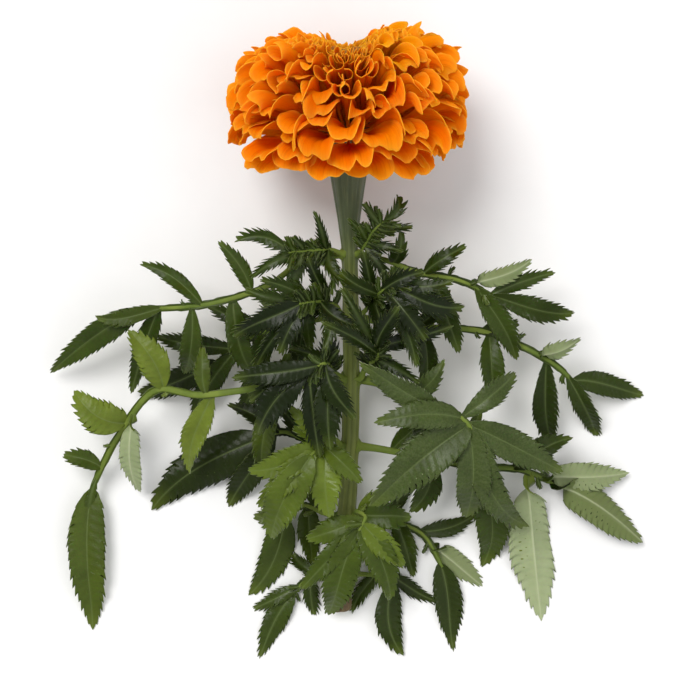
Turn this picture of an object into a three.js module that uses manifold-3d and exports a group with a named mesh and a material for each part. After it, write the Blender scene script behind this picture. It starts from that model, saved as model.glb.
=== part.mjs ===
// A picked African marigold lying on a table: a pompom head of ray florets, the tuft of unopened florets
// at its middle, the ribbed stem that swells into the green cup under the head, toothed compound
// leaves and young side shoots.  Millimetres, +Z up, the stem along Y with the head towards +Y.
import * as THREE from 'three';
import { mergeVertices } from 'three/addons/utils/BufferGeometryUtils.js';
import Module from 'manifold-3d';

// ---------------------------------------------------------------- driving dimensions
const TILT = 14 * Math.PI / 180;      // how far the head's axis rises above the table
const SEAT_Z = 38.0;                  // height of the receptacle's rim above the table
const PRESS = 5.0;                    // how softly petals bend where they meet the table
const PRESS_SHIFT = 1.18, PRESS_LIFT = 1.02;   // sets the bent petals on the table and keeps the rest at its height
const STEM_LENGTH = 182;              // receptacle rim to the cut end, along the stem
const STEM_END_R = 3.7;               // radius at the cut end
const SLOPE_TOP = 14.0, SLOPE_END = 7.7;   // fall of the stem in degrees, at the head and at the cut
const SWAY = 3.0;                     // sideways bend of the stem
const DOME_R = 10.6, DOME_W = 3.0;    // the receptacle with the packed floret tubes on it
const NODES_AT = [44, 68, 92, 118, 145, 168];   // where leaves leave the stem, measured from the rim
const FLORET_T = 1.0;                 // floret thickness
const LEAF_T = 0.9;                   // leaflet thickness
const LEAF_LIFT = 0.62;               // height of a leaflet's middle layer where it lies on the table
const OFFSET = [0, 77.822, -0.132];     // puts the origin under the middle of the whole flower

// ray floret whorls from the lowest to the innermost:
// tip radius, tip height over the rim, florets, direction at the tip in degrees from the axis,
// where it stands on the receptacle in degrees, half width at its widest, turn of the whorl in steps
const WHORLS = [
  { r: 36.0, w: -7.5, n: 14, dir: 150, base: 112, half: 6.9, turn: 0.00 },
  { r: 42.5, w: -1.5, n: 14, dir: 136, base: 103, half: 8.2, turn: 0.50 },
  { r: 45.5, w: 5.5, n: 14, dir: 121, base: 94, half: 8.8, turn: 0.22 },
  { r: 46.0, w: 13.0, n: 18, dir: 106, base: 85, half: 7.4, turn: 0.60 },
  { r: 44.5, w: 20.3, n: 18, dir: 91, base: 76, half: 7.2, turn: 0.05 },
  { r: 41.0, w: 26.8, n: 17, dir: 76, base: 67, half: 6.9, turn: 0.45 },
  { r: 36.0, w: 32.0, n: 16, dir: 60, base: 58, half: 6.3, turn: 0.80 },
  { r: 30.0, w: 35.4, n: 14, dir: 45, base: 49, half: 5.6, turn: 0.30 },
  { r: 23.6, w: 36.6, n: 13, dir: 31, base: 40, half: 4.2, turn: 0.70 },
  { r: 17.6, w: 35.4, n: 11, dir: 19, base: 31, half: 3.4, turn: 0.15 },
  { r: 12.4, w: 32.6, n: 9, dir: 10, base: 22, half: 2.8, turn: 0.55 },
];
const SINGLE_WHORLS = 2;              // the outer whorls whose florets are modelled one by one

// ---------------------------------------------------------------- materials
const orange = new THREE.MeshStandardMaterial({ color: 0xf07d0a, roughness: 0.62, metalness: 0 });
const orangeInner = new THREE.MeshStandardMaterial({ color: 0xe0700c, roughness: 0.62, metalness: 0 });
const ochre = new THREE.MeshStandardMaterial({ color: 0x9c6a17, roughness: 0.7, metalness: 0 });
const stemGreen = new THREE.MeshStandardMaterial({ color: 0x566b3c, roughness: 0.55, metalness: 0 });
const leafGreen = new THREE.MeshStandardMaterial({ color: 0x3c5a26, roughness: 0.5, metalness: 0 });
const shootGreen = new THREE.MeshStandardMaterial({ color: 0x4f7a2a, roughness: 0.5, metalness: 0 });

// ---------------------------------------------------------------- helpers
const wasm = await Module();
wasm.setup();
const D = Math.PI / 180;
const clamp = (v, a, b) => Math.min(b, Math.max(a, v));
const smooth = (a, b, v) => { const t = clamp((v - a) / (b - a), 0, 1); return t * t * (3 - 2 * t); };
const noise = (n) => { const s = Math.sin(n * 12.9898 + 4.1414) * 43758.5453; return s - Math.floor(s); };
const soft = (z, c) => (z + Math.sqrt(z * z + c * c)) / 2;   // z where z is high, never below 0

// moves every vertex of a closed three.js geometry: put(x, y, z, u, v) gives its new place
function reshape(geometry, put) {
  const p = geometry.getAttribute('position'), uv = geometry.getAttribute('uv');
  for (let i = 0; i < p.count; i++) {
    const q = put(p.getX(i), p.getY(i), p.getZ(i), uv ? uv.getX(i) : 0, uv ? uv.getY(i) : 0);
    p.setXYZ(i, q.x, q.y, q.z);
  }
  geometry.deleteAttribute('normal');
  if (uv) geometry.deleteAttribute('uv');
  return mergeVertices(geometry, 1e-4);
}
function solid(geometry) {
  const g = geometry.getAttribute('uv') || geometry.getAttribute('normal') ? reshape(geometry, (x, y, z) => ({ x, y, z })) : geometry;
  const m = new wasm.Manifold(new wasm.Mesh({ numProp: 3, vertProperties: g.getAttribute('position').array, triVerts: new Uint32Array(g.index.array) }));
  return m.volume() < 0 ? null : m;
}
function fromSolid(m) {
  const mesh = m.getMesh();
  const v = new Float32Array(mesh.numVert * 3);
  for (let i = 0; i < mesh.numVert; i++) for (let k = 0; k < 3; k++) v[3 * i + k] = mesh.vertProperties[i * mesh.numProp + k];
  const g = new THREE.BufferGeometry();
  g.setAttribute('position', new THREE.BufferAttribute(v, 3));
  g.setIndex(new THREE.BufferAttribute(new Uint32Array(mesh.triVerts), 1));
  return g;
}
// reverses the faces of a geometry that came out facing inwards
function flip(g) {
  const a = g.index.array;
  for (let i = 0; i < a.length; i += 3) [a[i + 1], a[i + 2]] = [a[i + 2], a[i + 1]];
  return g;
}
function outward(g) { return solid(g) ? g : flip(g); }

// ---------------------------------------------------------------- the head's own frame
// x across, v towards the table, w along the head's axis
const SIN = Math.sin(TILT), COS = Math.cos(TILT);
function place(x, v, w) {
  const y = v * SIN + w * COS;
  const z = SEAT_Z + PRESS_LIFT - v * COS + w * SIN;
  return new THREE.Vector3(x, y, soft(z, PRESS) - PRESS_SHIFT);
}
// the head isn't quite round: two shoulders at its sides, the right one higher, and a dip between them
function lift(x, w) {
  const g = smooth(12, 34, w) ** 2;
  return g * (-4.5 + 7.4 * smooth(2, 20, Math.abs(x - 1)) + 1.5 * clamp(x / 20, -1, 1));
}
// a whorl's floret line in the half plane of radius and height: a Bezier from the receptacle to the tip
function guide(k, s) {
  const W = WHORLS[k], b = W.base * D, d = W.dir * D;
  const p0 = [(DOME_R + 0.7) * Math.sin(b), DOME_W + (DOME_R * 0.92 + 0.7) * Math.cos(b)];
  const p3 = [W.r, W.w];
  const reach = Math.hypot(p3[0] - p0[0], p3[1] - p0[1]);
  const p1 = [p0[0] + Math.sin(b) * reach * 0.30, p0[1] + Math.cos(b) * reach * 0.30];
  const p2 = [p3[0] - Math.sin(d) * reach * 0.26, p3[1] - Math.cos(d) * reach * 0.26];
  const q = 1 - s, at = [0, 1].map((i) => q * q * q * p0[i] + 3 * q * q * s * p1[i] + 3 * q * s * s * p2[i] + s * s * s * p3[i]);
  const ta = [0, 1].map((i) => 3 * q * q * (p1[i] - p0[i]) + 6 * q * s * (p2[i] - p1[i]) + 3 * s * s * (p3[i] - p2[i]));
  const l = Math.hypot(ta[0], ta[1]);
  return { r: at[0], w: at[1], tr: ta[0] / l, tw: ta[1] / l };
}
// a point of the sheet that whorl k follows: s along it, phi around, up its height over the sheet
function onSheet(k, s, phi, up) {
  const g = guide(k, s);
  const r = g.r - g.tw * up, w = g.w + g.tr * up;   // the inner face looks towards the axis
  return place(r * Math.cos(phi), r * Math.sin(phi), w + lift(r * Math.cos(phi), w));
}

// ---------------------------------------------------------------- the parts
const flower = new THREE.Group();
const add = (name, geometry, material) => {
  const m = new THREE.Mesh(outward(geometry), material);
  m.name = name;
  flower.add(m);
  return m;
};

// one ray floret: a narrow claw that widens into a scooped blade with a rounded end
function rayFloret(k, j) {
  const W = WHORLS[k];
  const step = 2 * Math.PI / W.n;
  const phi0 = (j + W.turn) * step + (noise(k * 40 + j) - 0.5) * 0.08 * step;
  const long = 0.95 + 0.05 * noise(k * 77 + j * 3 + 5);
  const g = new THREE.BoxGeometry(1, 1, 1, 2, 5, 1);
  return reshape(g, (x, y, z) => {
    const s = (y + 0.5) * long, e = y + 0.5;
    const wide = e < 0.8 ? 0.17 + 0.83 * smooth(0, 0.8, e) : 1 - 0.38 * ((e - 0.8) / 0.2) ** 2;
    const r = guide(k, s).r;
    const half = Math.min(W.half * wide, r * step * (0.5 - 0.04) - 0.3);
    const across = x * 2 * half;
    const phi = phi0 + across / Math.max(r, 1);
    const scoop = (x * 2) ** 2 * half * 0.22;
    return onSheet(k, s, phi, scoop + z * FLORET_T * (1 - 0.3 * e));
  });
}
// a whorl of florets joined where their claws crowd together: a bowl whose rim is scalloped into blades
function whorl(k) {
  const W = WHORLS[k], rows = 3, pts = [];
  const top = k > 8 ? 0.9 : FLORET_T;
  for (let i = 0; i <= rows; i++) pts.push({ s: i / rows, up: -0.5 });
  for (let i = rows; i >= 0; i--) pts.push({ s: i / rows, up: 0.5 });
  pts.push(pts[0]);
  const g = new THREE.LatheGeometry(pts.map((p, i) => new THREE.Vector2(10 + i, i)), 2 * W.n);
  const n = pts.length - 1;
  return reshape(g, (x, y, z, u, v) => {
    const p = pts[Math.round(v * n)];
    const around = Math.round(u * 2 * W.n) % (2 * W.n);
    const peak = around % 2 === 0;
    const s = p.s * (peak ? 1 : 0.84);
    const phi = (around / 2 + W.turn) * 2 * Math.PI / W.n;
    const scoop = (peak ? -0.35 : 0.55) * smooth(0.3, 1, p.s) * 1.4;
    return onSheet(k, s, phi, scoop + p.up * top);
  });
}
let count = 0;
for (let k = 0; k < SINGLE_WHORLS; k++) {
  for (let j = 0; j < WHORLS[k].n; j++) {
    count++;
    add('ray_floret_' + String(count).padStart(2, '0'), rayFloret(k, j), orange);
  }
}
for (let k = SINGLE_WHORLS; k < WHORLS.length; k++) add('ray_whorl_' + String(k + 1).padStart(2, '0'), whorl(k), k > 7 ? orangeInner : orange);

// the tuft of unopened florets at the middle: a plug that widens upwards and ends in blunt bud tips
{
  const prof = [[0, 13.6], [2.6, 13.9], [3.9, 18], [5.2, 23], [7.0, 28.4], [7.6, 30.2], [6.0, 31.4], [3.2, 30.8], [0, 30.3]];
  const seg = 16;
  const g = new THREE.LatheGeometry(prof.map((p) => new THREE.Vector2(p[0], p[1])), seg);
  const n = prof.length - 1;
  add('disc_florets', reshape(g, (x, y, z, u, v) => {
    const i = Math.round(v * n), a = Math.round(u * seg) % seg;
    const phi = a * 2 * Math.PI / seg;
    const [r, w] = prof[i];
    const bud = i >= 4 && i <= 7 ? (a % 2 ? 0.7 : -0.5) : 0;
    return place(r * Math.cos(phi), r * Math.sin(phi), w + bud + lift(r * Math.cos(phi), w));
  }), ochre);
}

// ---------------------------------------------------------------- the stem with its cup
function stemAt(s) {
  // integrates the slope, so that s is a true length along the stem
  const a0 = SLOPE_TOP * D, a1 = SLOPE_END * D, n = 24;
  let y = 0, z = SEAT_Z;
  for (let i = 0; i < n; i++) {
    const a = a0 + (a1 - a0) * ((i + 0.5) / n) * s / STEM_LENGTH;
    y -= Math.cos(a) * s / n;
    z -= Math.sin(a) * s / n;
  }
  const f = clamp(s / STEM_LENGTH, 0, 1);
  const x = SWAY * Math.sin(f * 4.2) * f;
  const a = a0 + (a1 - a0) * f;
  return { p: new THREE.Vector3(x, y, z), along: new THREE.Vector3(0, -Math.cos(a), -Math.sin(a)), down: new THREE.Vector3(0, Math.sin(a), -Math.cos(a)) };
}
// radius of the stem and cup against distance below the rim
const STEM_R = [[0, 8.3], [3, 8.15], [9, 7.5], [20, 5.7], [31, 4.05], [38, 3.2], [41, 2.95], [44, 3.3], [48, 2.9], [64, 2.95], [68, 3.4], [72, 3.0], [88, 3.1], [92, 3.55], [96, 3.15], [114, 3.2], [118, 3.65], [122, 3.25], [141, 3.3], [145, 3.75], [149, 3.35], [164, 3.45], [168, 3.9], [172, 3.55], [182, 3.7]];
function stemRadius(s) {
  for (let i = 1; i < STEM_R.length; i++) if (s <= STEM_R[i][0]) {
    const [a, ra] = STEM_R[i - 1], [b, rb] = STEM_R[i];
    return ra + (rb - ra) * (s - a) / (b - a);
  }
  return STEM_END_R;
}
{
  const prof = [[0, -STEM_LENGTH]];
  for (const [s, r] of [...STEM_R].reverse()) prof.push([r, -s]);
  for (const b of [104, 84, 60, 36, 16]) prof.push([DOME_R * Math.sin(b * D), DOME_W + DOME_R * 0.92 * Math.cos(b * D)]);
  prof.push([0, DOME_W + DOME_R * 0.92]);
  const seg = 14, n = prof.length - 1;
  const g = new THREE.LatheGeometry(prof.map((p) => new THREE.Vector2(p[0], p[1])), seg);
  add('stem', reshape(g, (x, y, z, u, v) => {
    const i = Math.round(v * n), a = Math.round(u * seg) % seg, phi = a * 2 * Math.PI / seg;
    const [r, h] = prof[i];
    if (h > 0) {
      return place(r * Math.cos(phi), r * Math.sin(phi), h);
    }
    const c = stemAt(-h);
    return c.p.clone().add(new THREE.Vector3(1, 0, 0).multiplyScalar(r * Math.cos(phi))).add(c.down.clone().multiplyScalar(r * Math.sin(phi)));
  }), stemGreen);
}

// ---------------------------------------------------------------- leaves and side shoots
// at: which joint of the stem it grows from; side: -1 towards -X, 1 towards +X, 0 from the stem's upper side.
// stalk: radius at the stem; path: the stalk's further points.
// blades: each leaflet's place along the stalk, where its tip lies (x, y, z), half width, twist in degrees,
// how high it arches and how far it bows sideways between its foot and its tip
const LEAVES = [
  { name: 'leaf_1', at: 0, side: -1, stalk: 1.3, path: [[-16.5, -44.5, 28], [-30, -54.5, 31.5], [-48, -60.5, 33.5], [-62, -62.5, 30.5], [-79, -63, 22]],
    blades: [
      [0.265, -21.5, -36, 33, 2.8, -15, 2, 1.5], [0.295, -14.5, -79.5, 24.5, 3.4, 9, 5, -2], [0.47, -48.5, -38, 36, 3, -11, 0.5, 2],
      [0.545, -34.5, -89, 20, 4.2, 8, 4.5, 2], [0.69, -78, -46.5, 30.5, 3, -13, 2.5, 2], [0.75, -63, -89, 15, 3.9, -2, 4, -2],
      [0.9, -95.5, -66, 23, 3, 0, 1.5, -1], [0.91, -83.5, -95, 4.5, 3.8, 7, 3, 1], [0.985, -114, -87, 3, 5, 6, 4.5, 2]] },
  { name: 'leaf_2', at: 1, side: -1, stalk: 1.2, path: [[-11, -67, 23], [-27.5, -71, 18.5], [-36.5, -73.5, 15], [-51, -84, 10]],
    blades: [
      [0.335, -20, -97.5, 9.5, 3.8, 6, 3, 1], [0.415, -33.5, -54, 22, 3, -6, 1.5, -1.5], [0.6, -43, -103.5, -3, 4.4, 9, 3.5, -1],
      [0.65, -54, -61.5, 15, 3.4, -7, 2, 0.5], [0.835, -60, -105.5, -3, 4.2, 6, 3.5, 1.5], [0.875, -74, -73, 12, 3.6, 1, 2, -0.5],
      [0.985, -82.5, -95, -3, 4.8, -2, 3, -1]] },
  { name: 'leaf_3', at: 2, side: -1, stalk: 1.6, path: [[-17.5, -92, 20.5], [-30.5, -92.5, 29], [-55.5, -95.5, 27.5], [-73, -94, 26.5], [-87.5, -111.5, 16], [-96, -126.5, 9], [-99.5, -134.5, 5.5]],
    blades: [
      [0.21, -22, -79.5, 29.5, 3, 3, 0, -2], [0.25, -33, -127.5, 15.5, 4, 2, 1.5, 1.5], [0.415, -54.5, -77.5, 30.5, 3, -8, 3, -1],
      [0.4, -60.5, -126, 13.5, 4.7, 8, 2.5, 1.5], [0.54, -82.5, -71, 31, 5.6, -10, 3.5, 3], [0.675, -104, -94, 20.5, 6.3, -15, 3, -4],
      [0.645, -80.5, -132.5, 4, 3.9, 5, 6, 2.5], [0.825, -109, -118.5, 11, 3.4, -26, 3.5, 1.5], [0.86, -97.5, -164, -3, 2.2, 8, 2, 4],
      [0.95, -99, -187.5, 3, 7, -6, 1.5, 3]] },
  { name: 'leaf_4', at: 3, side: -1, stalk: 1.3, path: [[-11, -115.5, 14], [-23.5, -110, 13.5], [-32.5, -112, 10]],
    blades: [
      [0.4, -25, -99.5, 14.5, 3, -7, 0.5, -0.5], [0.475, -23.5, -132.5, -3, 3.6, 1, 1.5, 0.5], [0.74, -46.5, -99.5, 11.5, 3.5, -8, 2, 1.5],
      [0.82, -47, -140.5, -3, 5, 12, 2, -0.5], [0.98, -76, -140.5, -2, 8.4, -2, 2, 2.5]] },
  { name: 'leaf_5', at: 4, side: -1, stalk: 1.2, path: [[-9.5, -141, 10.5], [-17.5, -138.5, 6.5], [-25, -143, 4]],
    blades: [
      [0.44, -23.5, -119, -3, 3.4, 2, -1.5, 2.5], [0.58, -14, -162, -3, 4.4, 12, 1.5, 0.5], [0.815, -37.5, -142.5, -3, 4, 6, -0.5, -2],
      [0.97, -38.5, -173.5, -3, 6.2, 15, -1, -2.5]] },
  { name: 'leaf_6', at: 5, side: -1, stalk: 1, path: [[-8.5, -164.5, 6.5], [-16, -167.5, 3], [-21, -172.5, 1.8]],
    blades: [
      [0.455, -21, -157.5, -3, 2.4, -9, 2.5, -1.5], [0.605, -13, -182, -3, 2.8, 9, 1, 0.5], [0.815, -37, -179, -3, 2.8, -9, 1.5, 0],
      [0.985, -34.5, -198.5, -3, 4.4, 0, 1, 2]] },
  { name: 'leaf_7', at: 0, side: 1, stalk: 1.2, path: [[14.5, -45, 29.5], [26, -49.5, 33], [41.5, -52.5, 31.5], [55, -58.5, 29]],
    blades: [
      [0.305, 19.5, -34.5, 38.5, 2.8, 11, 3, 1], [0.345, 19, -72.5, 27, 3.6, -10, 3.5, 0.5], [0.54, 44, -40, 37.5, 3, 3, 2.5, -1],
      [0.61, 42, -79.5, 24, 4.2, -7, 4.5, 1], [0.82, 69, -44.5, 31, 3.2, 10, 2.5, 1], [0.865, 64.5, -83, 19.5, 4.4, -8, 2, -1],
      [0.97, 78, -49.5, 28, 2.8, 0, 1, -0.5], [0.985, 85.5, -64.5, 23.5, 4.4, 2, 3.5, 1]] },
  { name: 'leaf_8', at: 1, side: 1, stalk: 1.4, path: [[12.5, -68, 24.5], [31.5, -70, 25.5], [53, -72, 19.5], [75, -82, 22], [86.5, -91, 15.5]],
    blades: [
      [0.345, 37.5, -55, 27, 3, 6, 2.5, 2], [0.36, 28.5, -96, 17.5, 3.7, -4, 2.5, -2.5], [0.58, 64.5, -67.5, 21, 3.1, -7, -0.5, 1],
      [0.605, 55, -100, 16, 4.6, 12, 4.5, 0], [0.77, 87, -74, 28, 3.4, -9, 4, 1], [0.8, 80, -117, 3, 4.8, -10, 2, 1.5],
      [0.94, 97, -112.5, -3, 4, -21, 3, -0.5], [0.98, 114, -96, -3, 4.5, 7, 1, -2]] },
  { name: 'leaf_9', at: 2, side: 1, stalk: 1.6, path: [[19.5, -93, 21.5], [24.5, -97, 32.5], [40, -102.5, 35], [46.5, -108, 35]],
    blades: [
      [0.435, 35.5, -82.5, 39, 3.6, -3, 1, 2], [0.66, 3.5, -82.5, 44.5, 4.8, 16, 3.5, -2], [0.81, 63, -87, 27.5, 4.2, 5, 5.5, 0.5],
      [0.83, 9.5, -105.5, 41, 5.3, -7, 4.5, 3], [0.94, 8.5, -137, 26.5, 8.2, -1, 4, 2], [0.915, 82, -125, 22, 6, 7, 2, -0.5],
      [0.92, 45, -143.5, 20, 6.6, 9, 4.5, -2.5], [0.56, 26, -113, 27, 4.4, 18, 2, -1.5], [0.985, 70.5, -148, 15, 5.6, -1, 3.5, 4.5]] },
  { name: 'leaf_10', at: 3, side: 1, stalk: 1.5, path: [[13.5, -116.5, 16], [31.5, -120, 16.5], [50, -123, 16], [66.5, -124.5, 10.5], [80, -130.5, 6]],
    blades: [
      [0.24, 28, -105.5, 13.5, 3.4, -10, -0.5, -0.5], [0.395, 24, -141, 12, 4.7, 5, 1.5, -4], [0.49, 50.5, -101.5, 18, 4, -5, 3, 1],
      [0.6, 52, -164, -3, 6.4, -9, 3.5, -3.5], [0.755, 86, -112, 13.5, 4.6, -3, 5, -1], [0.835, 75, -184, -3, 8.6, 18, 1.5, 1],
      [0.895, 109, -126, 5, 5.6, -7, 1, 0.5], [0.97, 114, -153, 4.5, 6.6, 7, 2.5, -3]] },
  { name: 'leaf_11', at: 4, side: 1, stalk: 1.1, path: [[16, -141, 9], [19.5, -145, 3.5], [29.5, -150.5, 1.8], [36.5, -162.5, 4]],
    blades: [
      [0.365, 25.5, -122.5, -3, 3.1, 9, -2, -1], [0.47, 25.5, -167, -3, 4, -11, 3, -0.5], [0.695, 49.5, -142, -3, 3.4, 11, 2, 2],
      [0.83, 52.5, -170.5, -3, 4.4, 5, -0.5, -0.5], [0.965, 41, -196, -3, 5.2, 8, 0, -2]] },
  { name: 'leaf_12', at: 5, side: 1, stalk: 1, path: [[11, -165, 5.5], [14, -163, 2.5], [18.5, -170, 2]],
    blades: [
      [0.44, 17, -152, -4, 2.5, 3, 3.5, -0.5], [0.595, 1.5, -180.5, -3.5, 2.8, -2, 2, 1], [0.78, 36, -176.5, -0.5, 2.7, -4, -1, 0.5],
      [0.92, 21.5, -197, 1, 5, 9, 1.5, 3.5]] },
  { name: 'side_shoot_1', at: 0, side: 0, stalk: 0.9, path: [[-7, -41, 34.5], [-13.5, -41.5, 36.5], [-22, -42.5, 41.5]],
    blades: [
      [0.38, -12.5, -27.5, 47.5, 1.7, -5, 2, -0.5], [0.445, -7, -58, 41, 1.9, -5, -1, -3], [0.73, -27, -38, 39.5, 2, -6, 1.5, -2],
      [0.74, -22, -59.5, 37.5, 2.4, 1, 1.5, 0.5], [0.355, 0, -55, 40.5, 2.2, 15, 2, 2], [0.875, -36, -52, 39, 2, -8, 2, 0.5],
      [0.975, -42, -38.5, 41.5, 2.6, 5, -1, 3.5]] },
  { name: 'side_shoot_2', at: 0, side: 0, stalk: 0.85, path: [[6, -40, 35], [9, -35, 39], [13, -31, 42]],
    blades: [
      [0.45, 20, -42, 42, 1.8, 0, 1, 0], [0.5, 0, -30, 43, 1.7, 0, 1, 0], [0.78, 24, -33, 43, 1.8, 0, 1, 0],
      [0.35, 15, -53, 37, 2, 0, 1, 0], [0.9, 6, -24, 44, 1.6, 0, 1, 0], [0.985, 18, -21, 41, 2.1, 0, 2, 3]] },
  { name: 'side_shoot_3', at: 1, side: 0, stalk: 1, path: [[-5, -61.5, 30.5], [-11.5, -60.5, 37.5], [-18, -61.5, 42]],
    blades: [
      [0.455, -15, -44, 43, 2.6, 1, 0, 0], [0.535, -9.5, -78.5, 44.5, 2.7, -8, 2.5, -2], [0.735, -32.5, -52.5, 43.5, 2.8, 8, 1.5, 1],
      [0.79, -25.5, -80, 39.5, 3.6, -4, 2.5, 2], [0.365, -21.5, -64.5, 35.5, 2.6, -3, 1, -0.5], [0.605, 5.5, -70, 42, 3, 20, 2.5, 2],
      [0.875, -38, -56, 43, 2.5, 11, 0.5, -0.5], [0.915, -35, -86, 35, 3.2, 7, 1, 0.5], [0.97, -43, -73.5, 35.5, 4, 0, 2.5, -0.5]] },
  { name: 'side_shoot_4', at: 1, side: 0, stalk: 1, path: [[8, -62, 28.5], [11.5, -57.5, 38], [17, -54, 42.5]],
    blades: [
      [0.445, 5.5, -42, 47.5, 2.6, -3, 0.5, 0.5], [0.5, 14.5, -76, 43, 3.2, 2, 1.5, 0], [0.72, 28, -50, 45, 3, 0, 2.5, -1],
      [0.805, 29, -75, 42, 3.8, -2, 3, -0.5], [0.34, 20, -64.5, 36.5, 2.6, -3, 1, 0.5], [0.64, -3, -49.5, 42.5, 2.8, 1, 2.5, -0.5],
      [0.915, 38.5, -53, 47.5, 2.8, 4, 0.5, 0.5], [0.945, 25.5, -85, 39, 2.8, -8, 1, 0], [0.97, 43.5, -62.5, 39, 4, -3, 4, 2]] },
  { name: 'side_shoot_5', at: 2, side: 0, stalk: 1.1, path: [[-5.5, -86.5, 27.5], [-8.5, -83.5, 41], [-15.5, -87, 39.5]],
    blades: [
      [0.48, -8.5, -71, 38, 3.2, -3, 2.5, 1], [0.575, -6.5, -116, 35, 5, 12, 2, 0.5], [0.765, -43.5, -89, 40, 4.2, -5, 1.5, -1],
      [0.34, -22, -78, 32, 3, 14, 1.5, 2], [0.65, 3, -104, 41, 4.1, -12, 0.5, 3], [0.85, -37, -98, 35.5, 3.8, -11, 1.5, 2],
      [0.95, -10.5, -119, 31.5, 4, 8, 0.5, 0.5], [0.97, -33.5, -110, 30.5, 5.6, 6, 4, 3]] },
  { name: 'side_shoot_6', at: 2, side: 0, stalk: 1.1, path: [[7, -84.5, 24.5], [11, -81.5, 36.5], [10, -76.5, 41]],
    blades: [
      [0.615, 26.5, -91, 40, 2.4, -7, 1.5, -0.5], [0.765, -10.5, -68, 55.5, 2.7, -22, 4, 0.5], [0.435, 20, -97.5, 38, 3.1, -6, -1, -1],
      [0.81, -2.5, -56, 47, 2.2, 2, 2, 0], [0.9, 39.5, -69.5, 38, 2.9, -13, -1.5, -0.5], [0.91, 19, -62, 53, 3.4, 6, 2, -1.5]] },
  { name: 'side_shoot_7', at: 3, side: 0, stalk: 1.1, path: [[-5, -112.5, 21.5], [-9, -114, 27], [-14, -118, 31.5]],
    blades: [
      [0.5, -22, -100, 31, 3.6, 0, 1, 0], [0.6, -7, -142, 26, 6, 0, 4, 1], [0.805, -38, -124, 25.5, 5.4, -1, 3, -1.5],
      [0.35, -21, -108, 26, 3.6, 0, 1, 0], [0.69, 5, -128.5, 30, 4.2, -3, 2, 0], [0.9, -34, -138, 24, 5, 0, 3, 0],
      [0.98, -29.5, -150.5, 17, 7, 0, 5, 2]] },
  { name: 'side_shoot_8', at: 4, side: 0, stalk: 1.1, path: [[3.5, -140, 16], [6.5, -142, 20.5], [4, -147, 22.5]],
    blades: [
      [0.6, 24, -142, 21, 5.2, 0, 2, 0], [0.725, -16, -150.5, 19, 5, -9, 1.5, 0], [0.8, 16, -174, 13, 5.8, 0, 4, -1],
      [0.4, 17, -132, 19, 3.6, 0, 1, 0], [0.925, -18, -170, 18, 4.1, -6, 1.5, 0.5], [0.85, 21.5, -160.5, 18, 4.6, -3, 2.5, 0],
      [0.955, -8, -182, 8, 6.6, 5, 4.5, 2]] },
];

const UP = new THREE.Vector3(0, 0, 1);
const rest = (z, low) => low + soft(z - low, 2.0);   // bends what would hang lower than the table
function leafStalk(L) {
  const c = stemAt(NODES_AT[L.at]), r = stemRadius(NODES_AT[L.at]);
  const out = L.side === 0 ? new THREE.Vector3(Math.sign(L.path[0][0]) * 0.75, 0.15, 0.65).normalize() : new THREE.Vector3(L.side, 0, 0.1).normalize();
  const start = c.p.clone().addScaledVector(out, r + (L.side === 0 ? 1.5 : 0.85));
  return new THREE.CatmullRomCurve3([start, ...L.path.map((p) => new THREE.Vector3(...p))], false, 'catmullrom', 0.5);
}
function stalkFrame(curve, t) {
  const p = curve.getPoint(t), q = curve.getPoint(Math.min(1, t + 0.01)), o = curve.getPoint(Math.max(0, t - 0.01));
  const T = q.sub(o).normalize();
  const B = T.clone().cross(UP).normalize();
  const U = B.clone().cross(T).normalize();
  return { p, T, B, U };
}
// half width of a leaflet along its length, as a share of its widest
const outline = (s) => 0.16 * (1 - s) + Math.pow(Math.sin(Math.PI * Math.pow(clamp(s, 0, 1), 0.8)), 0.85);
// a point of a leaflet's middle layer, which is folded along its midrib: s along it, x from -1 to 1 across
function bladeAt(from, [, tx, ty, tz, half, twist, arch, bow], s, x, tooth) {
  const dir = new THREE.Vector3(tx, ty, tz).sub(from), length = dir.length();
  dir.normalize();
  const across0 = dir.clone().cross(UP).normalize(), up = across0.clone().cross(dir).normalize();
  const tw = twist * D * smooth(0, 0.5, s);
  const across = across0.clone().multiplyScalar(Math.cos(tw)).addScaledVector(up, Math.sin(tw));
  const normal = across.clone().cross(dir).normalize();
  const wide = half * outline(s) * tooth, hump = 4 * s * (1 - s);
  return from.clone().addScaledVector(dir, length * s).addScaledVector(up, arch * hump).addScaledVector(across0, bow * hump)
    .addScaledVector(across, x * wide).addScaledVector(normal, Math.abs(x) * wide * 0.28);
}
function leaf(L) {
  const curve = leafStalk(L), parts = [];
  // the stalk: thick where it leaves the stem, thinner towards its end
  parts.push(reshape(new THREE.CylinderGeometry(1, 1, 1, 5, L.path.length * 2 + 1), (x, y, z) => {
    const t = clamp(y + 0.5, 0, 1), f = stalkFrame(curve, t), r = L.stalk * (1 - 0.55 * t);
    const q = f.p.clone().addScaledVector(f.B, x * r).addScaledVector(f.U, z * r);
    q.z += rest(f.p.z, r + 0.15) - f.p.z;
    return q;
  }));
  for (const d of L.blades) {
    const from = curve.getPoint(d[0]), long = from.distanceTo(new THREE.Vector3(d[1], d[2], d[3])), rows = long < 32 ? 4 : 6;
    parts.push(reshape(new THREE.BoxGeometry(1, 1, 1, 2, rows, 1), (x, y, z) => {
      const j = Math.round((y + 0.5) * rows), s = j / rows;
      const tooth = j === 0 ? 1 : j === rows ? 0 : j % 2 ? 1.08 : 0.80;   // the blade comes to a point
      const q = bladeAt(from, d, s, x * 2, tooth);
      q.z = rest(q.z, LEAF_LIFT) + z * LEAF_T;
      return q;
    }));
  }
  let whole = null;
  for (const g of parts) {
    const m = solid(outward(g));
    whole = whole ? whole.add(m) : m;
  }
  return fromSolid(whole.simplify(0.02));
}
for (const L of LEAVES) add(L.name, leaf(L), L.side === 0 ? shootGreen : leafGreen);

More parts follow.
